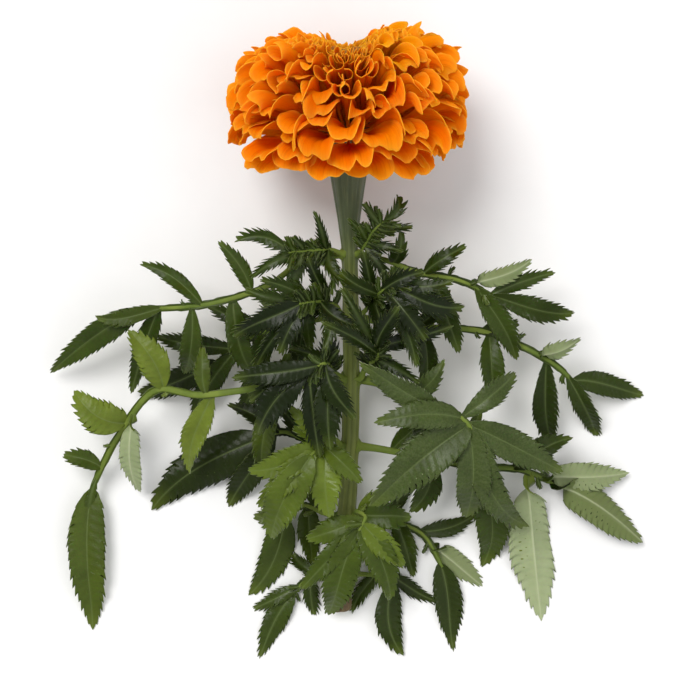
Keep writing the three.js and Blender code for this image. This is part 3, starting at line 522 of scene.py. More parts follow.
# ------------------------------------------------------------------ leaves
LEAVES = [
    dict(name="leaf_1", at=0, side=-1, stalk=1.3, path=[[-16.5, -44.5, 28], [-30, -54.5, 31.5], [-48, -60.5, 33.5], [-62, -62.5, 30.5], [-79, -63, 22]], blades=[
        [0.265, -21.5, -36, 33, 2.8, -15, 2, 1.5], [0.295, -14.5, -79.5, 24.5, 3.4, 9, 5, -2], [0.47, -48.5, -38, 36, 3, -11, 0.5, 2],
        [0.545, -34.5, -89, 20, 4.2, 8, 4.5, 2], [0.69, -78, -46.5, 30.5, 3, -13, 2.5, 2], [0.75, -63, -89, 15, 3.9, -2, 4, -2],
        [0.9, -95.5, -66, 23, 3, 0, 1.5, -1], [0.91, -83.5, -95, 4.5, 3.8, 7, 3, 1], [0.985, -114, -87, 3, 5, 6, 4.5, 2]]),
    dict(name="leaf_2", at=1, side=-1, stalk=1.2, path=[[-11, -67, 23], [-27.5, -71, 18.5], [-36.5, -73.5, 15], [-51, -84, 10]], blades=[
        [0.335, -20, -97.5, 9.5, 3.8, 6, 3, 1], [0.415, -33.5, -54, 22, 3, -6, 1.5, -1.5], [0.6, -43, -103.5, -3, 4.4, 9, 3.5, -1],
        [0.65, -54, -61.5, 15, 3.4, -7, 2, 0.5], [0.835, -60, -105.5, -3, 4.2, 6, 3.5, 1.5], [0.875, -74, -73, 12, 3.6, 1, 2, -0.5],
        [0.985, -82.5, -95, -3, 4.8, -2, 3, -1]]),
    dict(name="leaf_3", at=2, side=-1, stalk=1.6, path=[[-17.5, -92, 20.5], [-30.5, -92.5, 29], [-55.5, -95.5, 27.5], [-73, -94, 26.5], [-87.5, -111.5, 16], [-96, -126.5, 9], [-99.5, -134.5, 5.5]], blades=[
        [0.21, -22, -79.5, 29.5, 3, 3, 0, -2], [0.25, -33, -127.5, 15.5, 4, 2, 1.5, 1.5], [0.415, -54.5, -77.5, 30.5, 3, -8, 3, -1],
        [0.4, -60.5, -126, 13.5, 4.7, 8, 2.5, 1.5], [0.54, -82.5, -71, 31, 5.6, -10, 3.5, 3], [0.675, -104, -94, 20.5, 6.3, -15, 3, -4],
        [0.645, -80.5, -132.5, 4, 3.9, 5, 6, 2.5], [0.825, -109, -118.5, 11, 3.4, -26, 3.5, 1.5], [0.86, -97.5, -164, -3, 2.2, 8, 2, 4],
        [0.95, -99, -187.5, 3, 7, -6, 1.5, 3]]),
    dict(name="leaf_4", at=3, side=-1, stalk=1.3, path=[[-11, -115.5, 14], [-23.5, -110, 13.5], [-32.5, -112, 10]], blades=[
        [0.4, -25, -99.5, 14.5, 3, -7, 0.5, -0.5], [0.475, -23.5, -132.5, -3, 3.6, 1, 1.5, 0.5], [0.74, -46.5, -99.5, 11.5, 3.5, -8, 2, 1.5],
        [0.82, -47, -140.5, -3, 5, 12, 2, -0.5], [0.98, -76, -140.5, -2, 8.4, -2, 2, 2.5]]),
    dict(name="leaf_5", at=4, side=-1, stalk=1.2, path=[[-9.5, -141, 10.5], [-17.5, -138.5, 6.5], [-25, -143, 4]], blades=[
        [0.44, -23.5, -119, -3, 3.4, 2, -1.5, 2.5], [0.58, -14, -162, -3, 4.4, 12, 1.5, 0.5], [0.815, -37.5, -142.5, -3, 4, 6, -0.5, -2],
        [0.97, -38.5, -173.5, -3, 6.2, 15, -1, -2.5]]),
    dict(name="leaf_6", at=5, side=-1, stalk=1, path=[[-8.5, -164.5, 6.5], [-16, -167.5, 3], [-21, -172.5, 1.8]], blades=[
        [0.455, -21, -157.5, -3, 2.4, -9, 2.5, -1.5], [0.605, -13, -182, -3, 2.8, 9, 1, 0.5], [0.815, -37, -179, -3, 2.8, -9, 1.5, 0],
        [0.985, -34.5, -198.5, -3, 4.4, 0, 1, 2]]),
    dict(name="leaf_7", at=0, side=1, stalk=1.2, path=[[14.5, -45, 29.5], [26, -49.5, 33], [41.5, -52.5, 31.5], [55, -58.5, 29]], blades=[
        [0.305, 19.5, -34.5, 38.5, 2.8, 11, 3, 1], [0.345, 19, -72.5, 27, 3.6, -10, 3.5, 0.5], [0.54, 44, -40, 37.5, 3, 3, 2.5, -1],
        [0.61, 42, -79.5, 24, 4.2, -7, 4.5, 1], [0.82, 69, -44.5, 31, 3.2, 10, 2.5, 1], [0.865, 64.5, -83, 19.5, 4.4, -8, 2, -1],
        [0.97, 78, -49.5, 28, 2.8, 0, 1, -0.5], [0.985, 85.5, -64.5, 23.5, 4.4, 2, 3.5, 1]]),
    dict(name="leaf_8", at=1, side=1, stalk=1.4, path=[[12.5, -68, 24.5], [31.5, -70, 25.5], [53, -72, 19.5], [75, -82, 22], [86.5, -91, 15.5]], blades=[
        [0.345, 37.5, -55, 27, 3, 6, 2.5, 2], [0.36, 28.5, -96, 17.5, 3.7, -4, 2.5, -2.5], [0.58, 64.5, -67.5, 21, 3.1, -7, -0.5, 1],
        [0.605, 55, -100, 16, 4.6, 12, 4.5, 0], [0.77, 87, -74, 28, 3.4, -9, 4, 1], [0.8, 80, -117, 3, 4.8, -10, 2, 1.5],
        [0.94, 97, -112.5, -3, 4, -21, 3, -0.5], [0.98, 114, -96, -3, 4.5, 7, 1, -2]]),
    dict(name="leaf_9", at=2, side=1, stalk=1.6, path=[[19.5, -93, 21.5], [24.5, -97, 32.5], [40, -102.5, 35], [46.5, -108, 35]], blades=[
        [0.435, 35.5, -82.5, 39, 3.6, -3, 1, 2], [0.66, 3.5, -82.5, 44.5, 4.8, 16, 3.5, -2], [0.81, 63, -87, 27.5, 4.2, 5, 5.5, 0.5],
        [0.83, 9.5, -105.5, 41, 5.3, -7, 4.5, 3], [0.94, 8.5, -137, 26.5, 8.2, -1, 4, 2], [0.915, 82, -125, 22, 6, 7, 2, -0.5],
        [0.92, 45, -143.5, 20, 6.6, 9, 4.5, -2.5], [0.56, 26, -113, 27, 4.4, 18, 2, -1.5], [0.985, 70.5, -148, 15, 5.6, -1, 3.5, 4.5]]),
    dict(name="leaf_10", at=3, side=1, stalk=1.5, path=[[13.5, -116.5, 16], [31.5, -120, 16.5], [50, -123, 16], [66.5, -124.5, 10.5], [80, -130.5, 6]], blades=[
        [0.24, 28, -105.5, 13.5, 3.4, -10, -0.5, -0.5], [0.395, 24, -141, 12, 4.7, 5, 1.5, -4], [0.49, 50.5, -101.5, 18, 4, -5, 3, 1],
        [0.6, 52, -164, -3, 6.4, -9, 3.5, -3.5], [0.755, 86, -112, 13.5, 4.6, -3, 5, -1], [0.835, 75, -184, -3, 8.6, 18, 1.5, 1],
        [0.895, 109, -126, 5, 5.6, -7, 1, 0.5], [0.97, 114, -153, 4.5, 6.6, 7, 2.5, -3]]),
    dict(name="leaf_11", at=4, side=1, stalk=1.1, path=[[16, -141, 9], [19.5, -145, 3.5], [29.5, -150.5, 1.8], [36.5, -162.5, 4]], blades=[
        [0.365, 25.5, -122.5, -3, 3.1, 9, -2, -1], [0.47, 25.5, -167, -3, 4, -11, 3, -0.5], [0.695, 49.5, -142, -3, 3.4, 11, 2, 2],
        [0.83, 52.5, -170.5, -3, 4.4, 5, -0.5, -0.5], [0.965, 41, -196, -3, 5.2, 8, 0, -2]]),
    dict(name="leaf_12", at=5, side=1, stalk=1, path=[[11, -165, 5.5], [14, -163, 2.5], [18.5, -170, 2]], blades=[
        [0.44, 17, -152, -4, 2.5, 3, 3.5, -0.5], [0.595, 1.5, -180.5, -3.5, 2.8, -2, 2, 1], [0.78, 36, -176.5, -0.5, 2.7, -4, -1, 0.5],
        [0.92, 21.5, -197, 1, 5, 9, 1.5, 3.5]]),
    dict(name="side_shoot_1", at=0, side=0, stalk=0.9, path=[[-7, -41, 34.5], [-13.5, -41.5, 36.5], [-22, -42.5, 41.5]], blades=[
        [0.38, -12.5, -27.5, 47.5, 1.7, -5, 2, -0.5], [0.445, -7, -58, 41, 1.9, -5, -1, -3], [0.73, -27, -38, 39.5, 2, -6, 1.5, -2],
        [0.74, -22, -59.5, 37.5, 2.4, 1, 1.5, 0.5], [0.355, 0, -55, 40.5, 2.2, 15, 2, 2], [0.875, -36, -52, 39, 2, -8, 2, 0.5],
        [0.975, -42, -38.5, 41.5, 2.6, 5, -1, 3.5]]),
    dict(name="side_shoot_2", at=0, side=0, stalk=0.85, path=[[6, -40, 35], [9, -35, 39], [13, -31, 42]], blades=[
        [0.45, 20, -42, 42, 1.8, 0, 1, 0], [0.5, 0, -30, 43, 1.7, 0, 1, 0], [0.78, 24, -33, 43, 1.8, 0, 1, 0],
        [0.35, 15, -53, 37, 2, 0, 1, 0], [0.9, 6, -24, 44, 1.6, 0, 1, 0], [0.985, 18, -21, 41, 2.1, 0, 2, 3]]),
    dict(name="side_shoot_3", at=1, side=0, stalk=1, path=[[-5, -61.5, 30.5], [-11.5, -60.5, 37.5], [-18, -61.5, 42]], blades=[
        [0.455, -15, -44, 43, 2.6, 1, 0, 0], [0.535, -9.5, -78.5, 44.5, 2.7, -8, 2.5, -2], [0.735, -32.5, -52.5, 43.5, 2.8, 8, 1.5, 1],
        [0.79, -25.5, -80, 39.5, 3.6, -4, 2.5, 2], [0.365, -21.5, -64.5, 35.5, 2.6, -3, 1, -0.5], [0.605, 5.5, -70, 42, 3, 20, 2.5, 2],
        [0.875, -38, -56, 43, 2.5, 11, 0.5, -0.5], [0.915, -35, -86, 35, 3.2, 7, 1, 0.5], [0.97, -43, -73.5, 35.5, 4, 0, 2.5, -0.5]]),
    dict(name="side_shoot_4", at=1, side=0, stalk=1, path=[[8, -62, 28.5], [11.5, -57.5, 38], [17, -54, 42.5]], blades=[
        [0.445, 5.5, -42, 47.5, 2.6, -3, 0.5, 0.5], [0.5, 14.5, -76, 43, 3.2, 2, 1.5, 0], [0.72, 28, -50, 45, 3, 0, 2.5, -1],
        [0.805, 29, -75, 42, 3.8, -2, 3, -0.5], [0.34, 20, -64.5, 36.5, 2.6, -3, 1, 0.5], [0.64, -3, -49.5, 42.5, 2.8, 1, 2.5, -0.5],
        [0.915, 38.5, -53, 47.5, 2.8, 4, 0.5, 0.5], [0.945, 25.5, -85, 39, 2.8, -8, 1, 0], [0.97, 43.5, -62.5, 39, 4, -3, 4, 2]]),
    dict(name="side_shoot_5", at=2, side=0, stalk=1.1, path=[[-5.5, -86.5, 27.5], [-8.5, -83.5, 41], [-15.5, -87, 39.5]], blades=[
        [0.48, -8.5, -71, 38, 3.2, -3, 2.5, 1], [0.575, -6.5, -116, 35, 5, 12, 2, 0.5], [0.765, -43.5, -89, 40, 4.2, -5, 1.5, -1],
        [0.34, -22, -78, 32, 3, 14, 1.5, 2], [0.65, 3, -104, 41, 4.1, -12, 0.5, 3], [0.85, -37, -98, 35.5, 3.8, -11, 1.5, 2],
        [0.95, -10.5, -119, 31.5, 4, 8, 0.5, 0.5], [0.97, -33.5, -110, 30.5, 5.6, 6, 4, 3]]),
    dict(name="side_shoot_6", at=2, side=0, stalk=1.1, path=[[7, -84.5, 24.5], [11, -81.5, 36.5], [10, -76.5, 41]], blades=[
        [0.615, 26.5, -91, 40, 2.4, -7, 1.5, -0.5], [0.765, -10.5, -68, 55.5, 2.7, -22, 4, 0.5], [0.435, 20, -97.5, 38, 3.1, -6, -1, -1],
        [0.81, -2.5, -56, 47, 2.2, 2, 2, 0], [0.9, 39.5, -69.5, 38, 2.9, -13, -1.5, -0.5], [0.91, 19, -62, 53, 3.4, 6, 2, -1.5]]),
    dict(name="side_shoot_7", at=3, side=0, stalk=1.1, path=[[-5, -112.5, 21.5], [-9, -114, 27], [-14, -118, 31.5]], blades=[
        [0.5, -22, -100, 31, 3.6, 0, 1, 0], [0.6, -7, -142, 26, 6, 0, 4, 1], [0.805, -38, -124, 25.5, 5.4, -1, 3, -1.5],
        [0.35, -21, -108, 26, 3.6, 0, 1, 0], [0.69, 5, -128.5, 30, 4.2, -3, 2, 0], [0.9, -34, -138, 24, 5, 0, 3, 0],
        [0.98, -29.5, -150.5, 17, 7, 0, 5, 2]]),
    dict(name="side_shoot_8", at=4, side=0, stalk=1.1, path=[[3.5, -140, 16], [6.5, -142, 20.5], [4, -147, 22.5]], blades=[
        [0.6, 24, -142, 21, 5.2, 0, 2, 0], [0.725, -16, -150.5, 19, 5, -9, 1.5, 0], [0.8, 16, -174, 13, 5.8, 0, 4, -1],
        [0.4, 17, -132, 19, 3.6, 0, 1, 0], [0.925, -18, -170, 18, 4.1, -6, 1.5, 0.5], [0.85, 21.5, -160.5, 18, 4.6, -3, 2.5, 0],
        [0.955, -8, -182, 8, 6.6, 5, 4.5, 2]]),
]
UP = np.array([0.0, 0, 1])
# leaflets that hang turned over and show their pale lower sides: leaf and number of the leaflet
# how light and yellow each leaf is painted, 0 to 1: its own green, with painted shade in the low values of the leaves
# and shoots deep in the foliage; over one, painted sheen
LEAF_TONE_SHADE_SHEEN = {"leaf_1": 0.42, "leaf_2": 0.25, "leaf_3": 0.62, "leaf_4": 0.12, "leaf_5": 0.50, "leaf_6": 0.32, "leaf_7": 0.28, "leaf_8": 0.34,
         "leaf_9": 1.60, "leaf_10": 0.36, "leaf_11": 0.34, "leaf_12": 0.30, "side_shoot_1": 0.22, "side_shoot_2": 0.22, "side_shoot_3": 0.12,
         "side_shoot_4": 0.12, "side_shoot_5": 0.08, "side_shoot_6": 0.10, "side_shoot_7": 0.80, "side_shoot_8": 0.68}
YOUNG = {("leaf_10", 5): 0.95, ("leaf_10", 6): 0.60, ("leaf_10", 7): 0.12, ("leaf_3", 4): 0.95, ("leaf_3", 5): 1.0, ("leaf_3", 3): 0.85}
OVER = {("leaf_10", 5): 1.0, ("leaf_10", 6): 1.0, ("leaf_10", 7): 1.0, ("leaf_8", 4): 0.9, ("leaf_2", 1): 1.0, ("leaf_3", 6): 1.0, ("leaf_11", 3): 0.9, ("leaf_7", 4): 1.0}


def rest(z, low):
    return low + soft(z - low, 2.0)


def outline(s, wide_at=0.8, full=0.85):
    s = np.clip(s, 0, 1)
    return 0.16 * (1 - s) + np.clip(np.sin(math.pi * s ** wide_at), 0, 1) ** full


def catmull(points, t):
    """A Catmull-Rom curve through the points, its ends extended in line."""
    P = np.asarray(points, float)
    n = len(P)
    t = np.atleast_1d(np.asarray(t, float))
    p = (n - 1) * t
    i = np.minimum(np.floor(p).astype(int), n - 2)
    w = p - i
    ext = np.concatenate([[2 * P[0] - P[1]], P, [2 * P[-1] - P[-2]]])
    p0, p1, p2, p3 = ext[i], ext[i + 1], ext[i + 2], ext[i + 3]
    t0, t1 = 0.5 * (p2 - p0), 0.5 * (p3 - p1)
    w = w[:, None]
    return p1 + t0 * w + (-3 * p1 + 3 * p2 - 2 * t0 - t1) * w ** 2 + (2 * p1 - 2 * p2 + t0 + t1) * w ** 3


def stalk_points(L):
    s = NODES_AT[L["at"]]
    c, _ = stem_at(s)
    r = float(np.interp(s, STEM_R[:, 0], STEM_R[:, 1]))
    if L["side"] == 0:
        out = np.array([math.copysign(0.75, L["path"][0][0]), 0.15, 0.65])
    else:
        out = np.array([L["side"], 0, 0.1])
    out = out / np.linalg.norm(out)
    return [c[0] + out * (r + (1.5 if L["side"] == 0 else 0.85))] + [np.array(p, float) for p in L["path"]], c[0], out, r


def frames(points, t):
    t = np.atleast_1d(np.asarray(t, float))
    p = catmull(points, t)
    T = unit(catmull(points, np.minimum(1, t + 0.01)) - catmull(points, np.maximum(0, t - 0.01)))
    B = unit(np.cross(T, UP))
    U = unit(np.cross(B, T))
    return p, T, B, U


def leaflet(pile, start, d, rnd, over=0.0, fern=0.0, green=0.3):
    """A toothed blade folded along its midrib. over: half turns about its own line; fern: 0 to 1, how deeply cut."""
    _, tx, ty, tz, half, twist, arch, bow = d
    tip = np.array([tx, ty, tz], float)
    length = float(np.linalg.norm(tip - start))
    direction = (tip - start) / length
    across0 = unit(np.cross(direction, UP))
    up = unit(np.cross(across0, direction))
    teeth = int(max(3, min(15, round(length / (2.7 - 0.3 * fern)))))
    q = np.arange(teeth)[:, None] + np.array([0.0, 0.30, 0.62, 0.86])[None]
    s = np.concatenate([[0.0, 0.03], 0.07 + 0.88 * (q.ravel() / teeth), [0.955, 0.98, 1.0]])
    phase = np.concatenate([[0, 0], np.tile([0.0, 0.42, 0.82, 1.0], teeth), [0.0, 0, 0]])
    # no two teeth are the same
    size = rnd.uniform(0.55, 1.3, (teeth, 2))
    big = np.ones((len(s), 2))
    big[2:2 + 4 * teeth] = np.repeat(size, 4, axis=0)
    x = np.array([-1, -0.9, -0.68, -0.42, -0.20, -0.06, 0, 0.06, 0.20, 0.42, 0.68, 0.9, 1])
    if half < 4.0:
        x = np.array([-1, -0.9, -0.60, -0.32, -0.10, 0, 0.10, 0.32, 0.60, 0.9, 1])
    if half < 2.6:
        x = np.array([-1, -0.9, -0.50, -0.12, 0.12, 0.50, 0.9, 1])
    S, X = np.meshgrid(s, x, indexing="ij")
    ax = np.abs(X)
    which = np.where(X > 0, big[:, 1:2], big[:, 0:1])
    tooth = phase[:, None] * which * np.where(ax > 0.99, 1.0, np.where(np.abs(ax - 0.9) < 0.02, 0.50, 0.0))
    shape = outline(S, rnd.uniform(0.70, 0.98), rnd.uniform(0.66, 1.0))
    wide = half * shape * (0.95 - 0.06 * S) + 0.05
    depth = 0.24 + 0.48 * fern
    bite = np.minimum(depth * wide, (0.50 + 0.05 * half) * (1 + 1.4 * fern) * rnd.uniform(0.8, 1.2))
    reach = X * wide + np.sign(X) * bite * (tooth - 0.42 * (ax > 0.85) * (0.6 + 0.4 * (ax > 0.99)))
    Sf = np.minimum(S + tooth * (0.62 + 0.5 * fern) / teeth * smooth(0.02, 0.25, S) * (1 - 0.55 * smooth(0.85, 1, S)), 0.995 + 0.005 * S)
    fold = rnd.uniform(0.05, 0.48)
    roll = rnd.uniform(-0.010, 0.045)
    ph = rnd.uniform(0, 6.28, 6)
    wave = rnd.uniform(0.35, 1.25) * min(1.3, half / 6)
    edge_x = ax * wide
    vein = S * (teeth + 1) - 0.75 * edge_x / max(half, 1) * 1.5
    hump = 4 * S * (1 - S)
    height = edge_x * fold - roll * edge_x ** 2
    height = height + wave * np.sin(2 * math.pi * S * rnd.uniform(1.1, 2.1) + ph[0] + (X > 0) * rnd.uniform(0.6, 2.4)) * ax ** 1.6 * np.sin(math.pi * S)
    height = height + (0.20 + 0.16 * (over > 0)) * min(1.2, half / 6) * np.cos(2 * math.pi * vein) * smooth(0.04, 0.3, ax) * smooth(1.02, 0.75, ax) * np.sin(math.pi * S) ** 0.7
    height = height - 0.20 * np.exp(-(ax / 0.07) ** 2) * (1 - S) * min(1.0, half / 5)
    curl = rnd.uniform(-0.05, 0.10) * length * smooth(0.45, 1.0, S) ** 1.5
    sway = rnd.uniform(-0.07, 0.07) * length
    turn = twist * D * smooth(0, 0.5, S) + rnd.uniform(-8, 8) * D + (over * math.pi) * smooth(0.02, 0.22, S) + rnd.uniform(-34, 34) * D * smooth(0.3, 1.0, S)
    across = across0 * np.cos(turn)[..., None] + up * np.sin(turn)[..., None]
    normal = unit(np.cross(across, direction[None, None]))
    P = start + direction * (length * Sf)[..., None]
    P = P + up * (arch * hump - curl)[..., None]
    P = P + across0 * (bow * hump + sway * (S ** 2 - S ** 3) * 4)[..., None]
    P = P + across * reach[..., None] + normal * height[..., None]
    P[..., 2] = rest(P[..., 2], LEAF_LIFT - 0.45)
    P = P + OFFSET
    P[..., 2] = np.maximum(P[..., 2], 0.12)
    t_up = 0.12 + 0.10 * np.exp(-(ax / 0.05) ** 2) * (1 - S) * 0
    t_dn = 0.13 + 0.45 * np.exp(-(ax / 0.07) ** 2) * (1 - 0.85 * S) * min(1.2, half / 6)
    tone = np.zeros(S.shape + (4,))
    tone[..., 0] = np.clip(green + rnd.uniform(-0.14, 0.14), 0, 2)
    tone[..., 1] = np.exp(-(edge_x / 0.26) ** 2) * (1 - 0.5 * S)
    tone[..., 2] = vein - np.floor(vein)
    uv = np.stack([S, (X + 1) / 2], -1)
    # x grows to the right of the way it points, so the sheet is turned for its upper face to look up
    shell(pile, P[:, ::-1], t_up, t_dn[:, ::-1], uv[:, ::-1], tone[:, ::-1], low=0.05)


def wing(pile, points, t0, t1, half, rnd, green):
    """The narrow green wings along a leaf's stalk, between its leaflets."""
    n = 44
    t = np.linspace(t0, t1, n)
    p, T, B, U = frames(points, t)
    x = np.array([-1, -0.6, -0.25, 0, 0.25, 0.6, 1])
    f = (t - t0) / (t1 - t0)
    saw = 1 + 0.28 * np.abs(((f[:, None] * 9 + np.array([0.0, 0.37])[None]) % 1) - 0.15)
    w = 0.06 + half * np.clip(np.sin(math.pi * np.clip(f, 0, 1)), 0, 1) ** 0.35 * (0.75 + 0.25 * f)
    w = np.where(x[None] < 0, w[:, None] * saw[:, :1], w[:, None] * saw[:, 1:])
    X = x[None] * w
    ph = rnd.uniform(0, 6.28, 2)
    H = 0.30 * np.abs(X) + 0.22 * np.sin(f * 26 + ph[0])[:, None] * np.abs(x)[None] ** 2
    P = p[:, None] + B[:, None] * X[..., None] + U[:, None] * H[..., None]
    P[..., 2] = rest(P[..., 2], LEAF_LIFT)
    P = P + OFFSET
    tone = np.zeros((n, len(x), 4))
    tone[..., 0] = green
    tone[..., 1] = np.exp(-(X / 0.5) ** 2)
    tone[..., 2] = 0.2
    uv = np.stack([np.repeat(f[:, None], len(x), 1), np.repeat((x[None] + 1) / 2, n, 0)], -1)
    shell(pile, P[:, ::-1], 0.12, 0.12, uv[:, ::-1], tone[:, ::-1], low=0.05)


def make_leaf(L, seed, mats):
    rnd = np.random.RandomState(40 + seed)
    pile = Pile()
    points, centre, out, r = stalk_points(L)
    # the stalk, from a flared foot on the stem
    n, segs = 72, 12
    t = np.linspace(0, 1, n)
    p, T, B, U = frames(points, t)
    R = L["stalk"] * (1 - 0.55 * t)
    foot = 5
    pre = np.array([centre + out * (r - 0.6 + (q / foot) * (2.0 if L["side"] == 0 else 1.4)) for q in range(foot)])
    p = np.concatenate([pre, p])
    B = np.concatenate([np.repeat(B[:1], foot, 0), B])
    U = np.concatenate([np.repeat(U[:1], foot, 0), U])
    R = np.concatenate([L["stalk"] * np.linspace(1.75, 1.12, foot), R])
    R = R * (1 + 0.22 * np.exp(-np.arange(len(R)) / 7.0))
    th = np.arange(segs) * 2 * math.pi / segs
    c, s_ = np.cos(th), np.sin(th)
    rad = 1 - 0.28 * np.exp(-((th - math.pi / 2) / 0.5) ** 2)     # a groove along the upper side
    P = p[:, None] + (R[:, None] * (c * rad)[None])[..., None] * B[:, None] + (R[:, None] * (s_ * rad)[None])[..., None] * U[:, None]
    P[..., 2] += (rest(p[:, 2], R + 0.15) - p[:, 2])[:, None]
    P = P + OFFSET
    P[..., 2] = np.maximum(P[..., 2], 0.05)
    m = len(p)
    tone = np.zeros((m, segs, 4))
    tone[..., 0] = 0.5
    tone[..., 1] = 1.0
    tone[..., 3] = -1.0
    F = grid_faces(m, segs, wrap=True)
    caps = [[0, q, q + 1, q + 2] for q in range(1, segs - 2, 2)]
    e = (m - 1) * segs
    caps += [[e, e + q + 2, e + q + 1, e + q] for q in range(1, segs - 2, 2)]
    F = np.concatenate([F, np.array(caps)])
    uv = np.stack([np.repeat(np.linspace(0, 1, m)[:, None], segs, 1), np.tile(th / 6.2832, (m, 1))], -1)
    V = P.reshape(-1, 3)
    pile.add(V, F[:, ::-1] if _inward(V, F) else F, uv.reshape(-1, 2), tone.reshape(-1, 4))
    shoot = L["side"] == 0
    first = min(b[0] for b in L["blades"])
    # the leaf's tone: its own green with painted shade, or painted sheen over one
    green = LEAF_TONE_SHADE_SHEEN[L["name"]]
    wing(pile, points, max(0.12, first - 0.06), 0.99, 1.5 if not shoot else 1.0, rnd, green)
    fern = {"side_shoot_1": 1.0, "side_shoot_2": 1.0, "side_shoot_3": 0.95, "side_shoot_4": 0.95, "side_shoot_5": 0.8, "side_shoot_6": 0.8, "leaf_6": 0.6,
            "leaf_12": 0.4, "leaf_2": 0.3, "leaf_7": 0.3, "leaf_8": 0.2}.get(L["name"], 0.0)
    for i, d in enumerate(L["blades"]):
        leaflet(pile, catmull(points, d[0])[0], d, rnd, over=OVER.get((L["name"], i), 0.0), fern=fern if d[4] < 4.2 else 0.3 * fern,
                green=YOUNG.get((L["name"], i), green))
    # small segments between the leaflets, most on the young shoots
    many = {"side_shoot_1": 24, "side_shoot_2": 22, "side_shoot_3": 20, "side_shoot_4": 20, "side_shoot_5": 14, "side_shoot_6": 14,
            "leaf_7": 4, "leaf_8": 4, "leaf_2": 4, "leaf_6": 5, "leaf_12": 4}.get(L["name"], 2)
    for q in range(many):
        t = max(0.25, first - 0.12) + (0.97 - max(0.25, first - 0.12)) * (q + rnd.uniform(0.2, 0.8)) / many
        p, T, B, U = frames(points, t)
        go = unit(T[0] * rnd.uniform(0.5, 1.1) + B[0] * (1 if q % 2 else -1) * rnd.uniform(0.7, 1.2) + U[0] * rnd.uniform(-0.1, 0.55))
        size = rnd.uniform(3.4, 6.6) * (1.3 if shoot else 0.9)
        tip = p[0] + go * size
        tip[2] = max(tip[2], 0.2)
        leaflet(pile, p[0], [t, *tip, size * rnd.uniform(0.13, 0.20), rnd.uniform(-50, 50), 0.3, rnd.uniform(-0.9, 0.9)], rnd, fern=0.7,
                green=green + 0.25 * (q % 3 == 0))
    ob = pile.done(L["name"] + "_blades")
    ob.data.materials.append(mats["shoot" if shoot else "leaf"])
    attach(ob, "root")
    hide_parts(L["name"])


def _inward(V, F):
    a, b, c = V[F[:, 0]], V[F[:, 1]], V[F[:, 2]]
    d = V[F[:, 3]]
    vol = (np.einsum("ij,ij->i", a, np.cross(b, c)) + np.einsum("ij,ij->i", a, np.cross(c, d))).sum()
    return vol < 0



# ------------------------------------------------------------------ materials
def new_material(name):
    m = bpy.data.materials.new(name)
    m.use_nodes = True
    nt = m.node_tree
    b = next(n for n in nt.nodes if n.type == "BSDF_PRINCIPLED")
    return m, nt, b


class Nodes:
    """Short names for the nodes that the materials are made of."""

    def __init__(self, nt):
        self.nt = nt

    def _in(self, node, i, v):
        if v is None:
            return
        if isinstance(v, bpy.types.NodeSocket):
            self.nt.links.new(v, node.inputs[i])
        else:
            node.inputs[i].default_value = v

    def attr(self, name="tone"):
        a = self.nt.nodes.new("ShaderNodeAttribute")
        a.attribute_name = name
        s = self.nt.nodes.new("ShaderNodeSeparateColor")
        self.nt.links.new(a.outputs["Color"], s.inputs[0])
        return s.outputs[0], s.outputs[1], s.outputs[2], a.outputs["Alpha"]

    def uv(self):
        u = self.nt.nodes.new("ShaderNodeUVMap")
        u.uv_map = "UVMap"
        s = self.nt.nodes.new("ShaderNodeSeparateXYZ")
        self.nt.links.new(u.outputs[0], s.inputs[0])
        return s.outputs[0], s.outputs[1], u.outputs[0]

    def math(self, op, a, b=None, c=None, clamp=False):
        n = self.nt.nodes.new("ShaderNodeMath")
        n.operation = op
        n.use_clamp = clamp
        for i, v in enumerate((a, b, c)):
            self._in(n, i, v)
        return n.outputs[0]

    def step(self, v, a, b, lo=0.0, hi=1.0):
        n = self.nt.nodes.new("ShaderNodeMapRange")
        n.interpolation_type = "SMOOTHSTEP"
        for i, x in enumerate((v, a, b, lo, hi)):
            self._in(n, i, x)
        return n.outputs[0]

    def mix(self, f, a, b, mode="MIX"):
        n = self.nt.nodes.new("ShaderNodeMix")
        n.data_type = "RGBA"
        n.blend_type = mode
        n.clamp_factor = True
        self._in(n, 0, f)
        for i, v in ((6, a), (7, b)):
            if isinstance(v, tuple):
                v = (*v, 1.0) if len(v) == 3 else v
            self._in(n, i, v)
        return n.outputs[2]

    def noise(self, vec, scale, detail=3.0, rough=0.55, dims="3D", w=None):
        n = self.nt.nodes.new("ShaderNodeTexNoise")
        n.noise_dimensions = dims
        if vec is not None:
            self.nt.links.new(vec, n.inputs["Vector"])
        n.inputs["Scale"].default_value = scale
        n.inputs["Detail"].default_value = detail
        n.inputs["Roughness"].default_value = rough
        return n.outputs["Fac"]

    def vec(self, x, y, z):
        n = self.nt.nodes.new("ShaderNodeCombineXYZ")
        for i, v in enumerate((x, y, z)):
            self._in(n, i, v)
        return n.outputs[0]

    def obj(self):
        return self.nt.nodes.new("ShaderNodeTexCoord").outputs["Object"]

    def bump(self, h, strength, dist):
        n = self.nt.nodes.new("ShaderNodeBump")
        n.inputs["Strength"].default_value = strength
        n.inputs["Distance"].default_value = dist
        self.nt.links.new(h, n.inputs["Height"])
        return n.outputs[0]


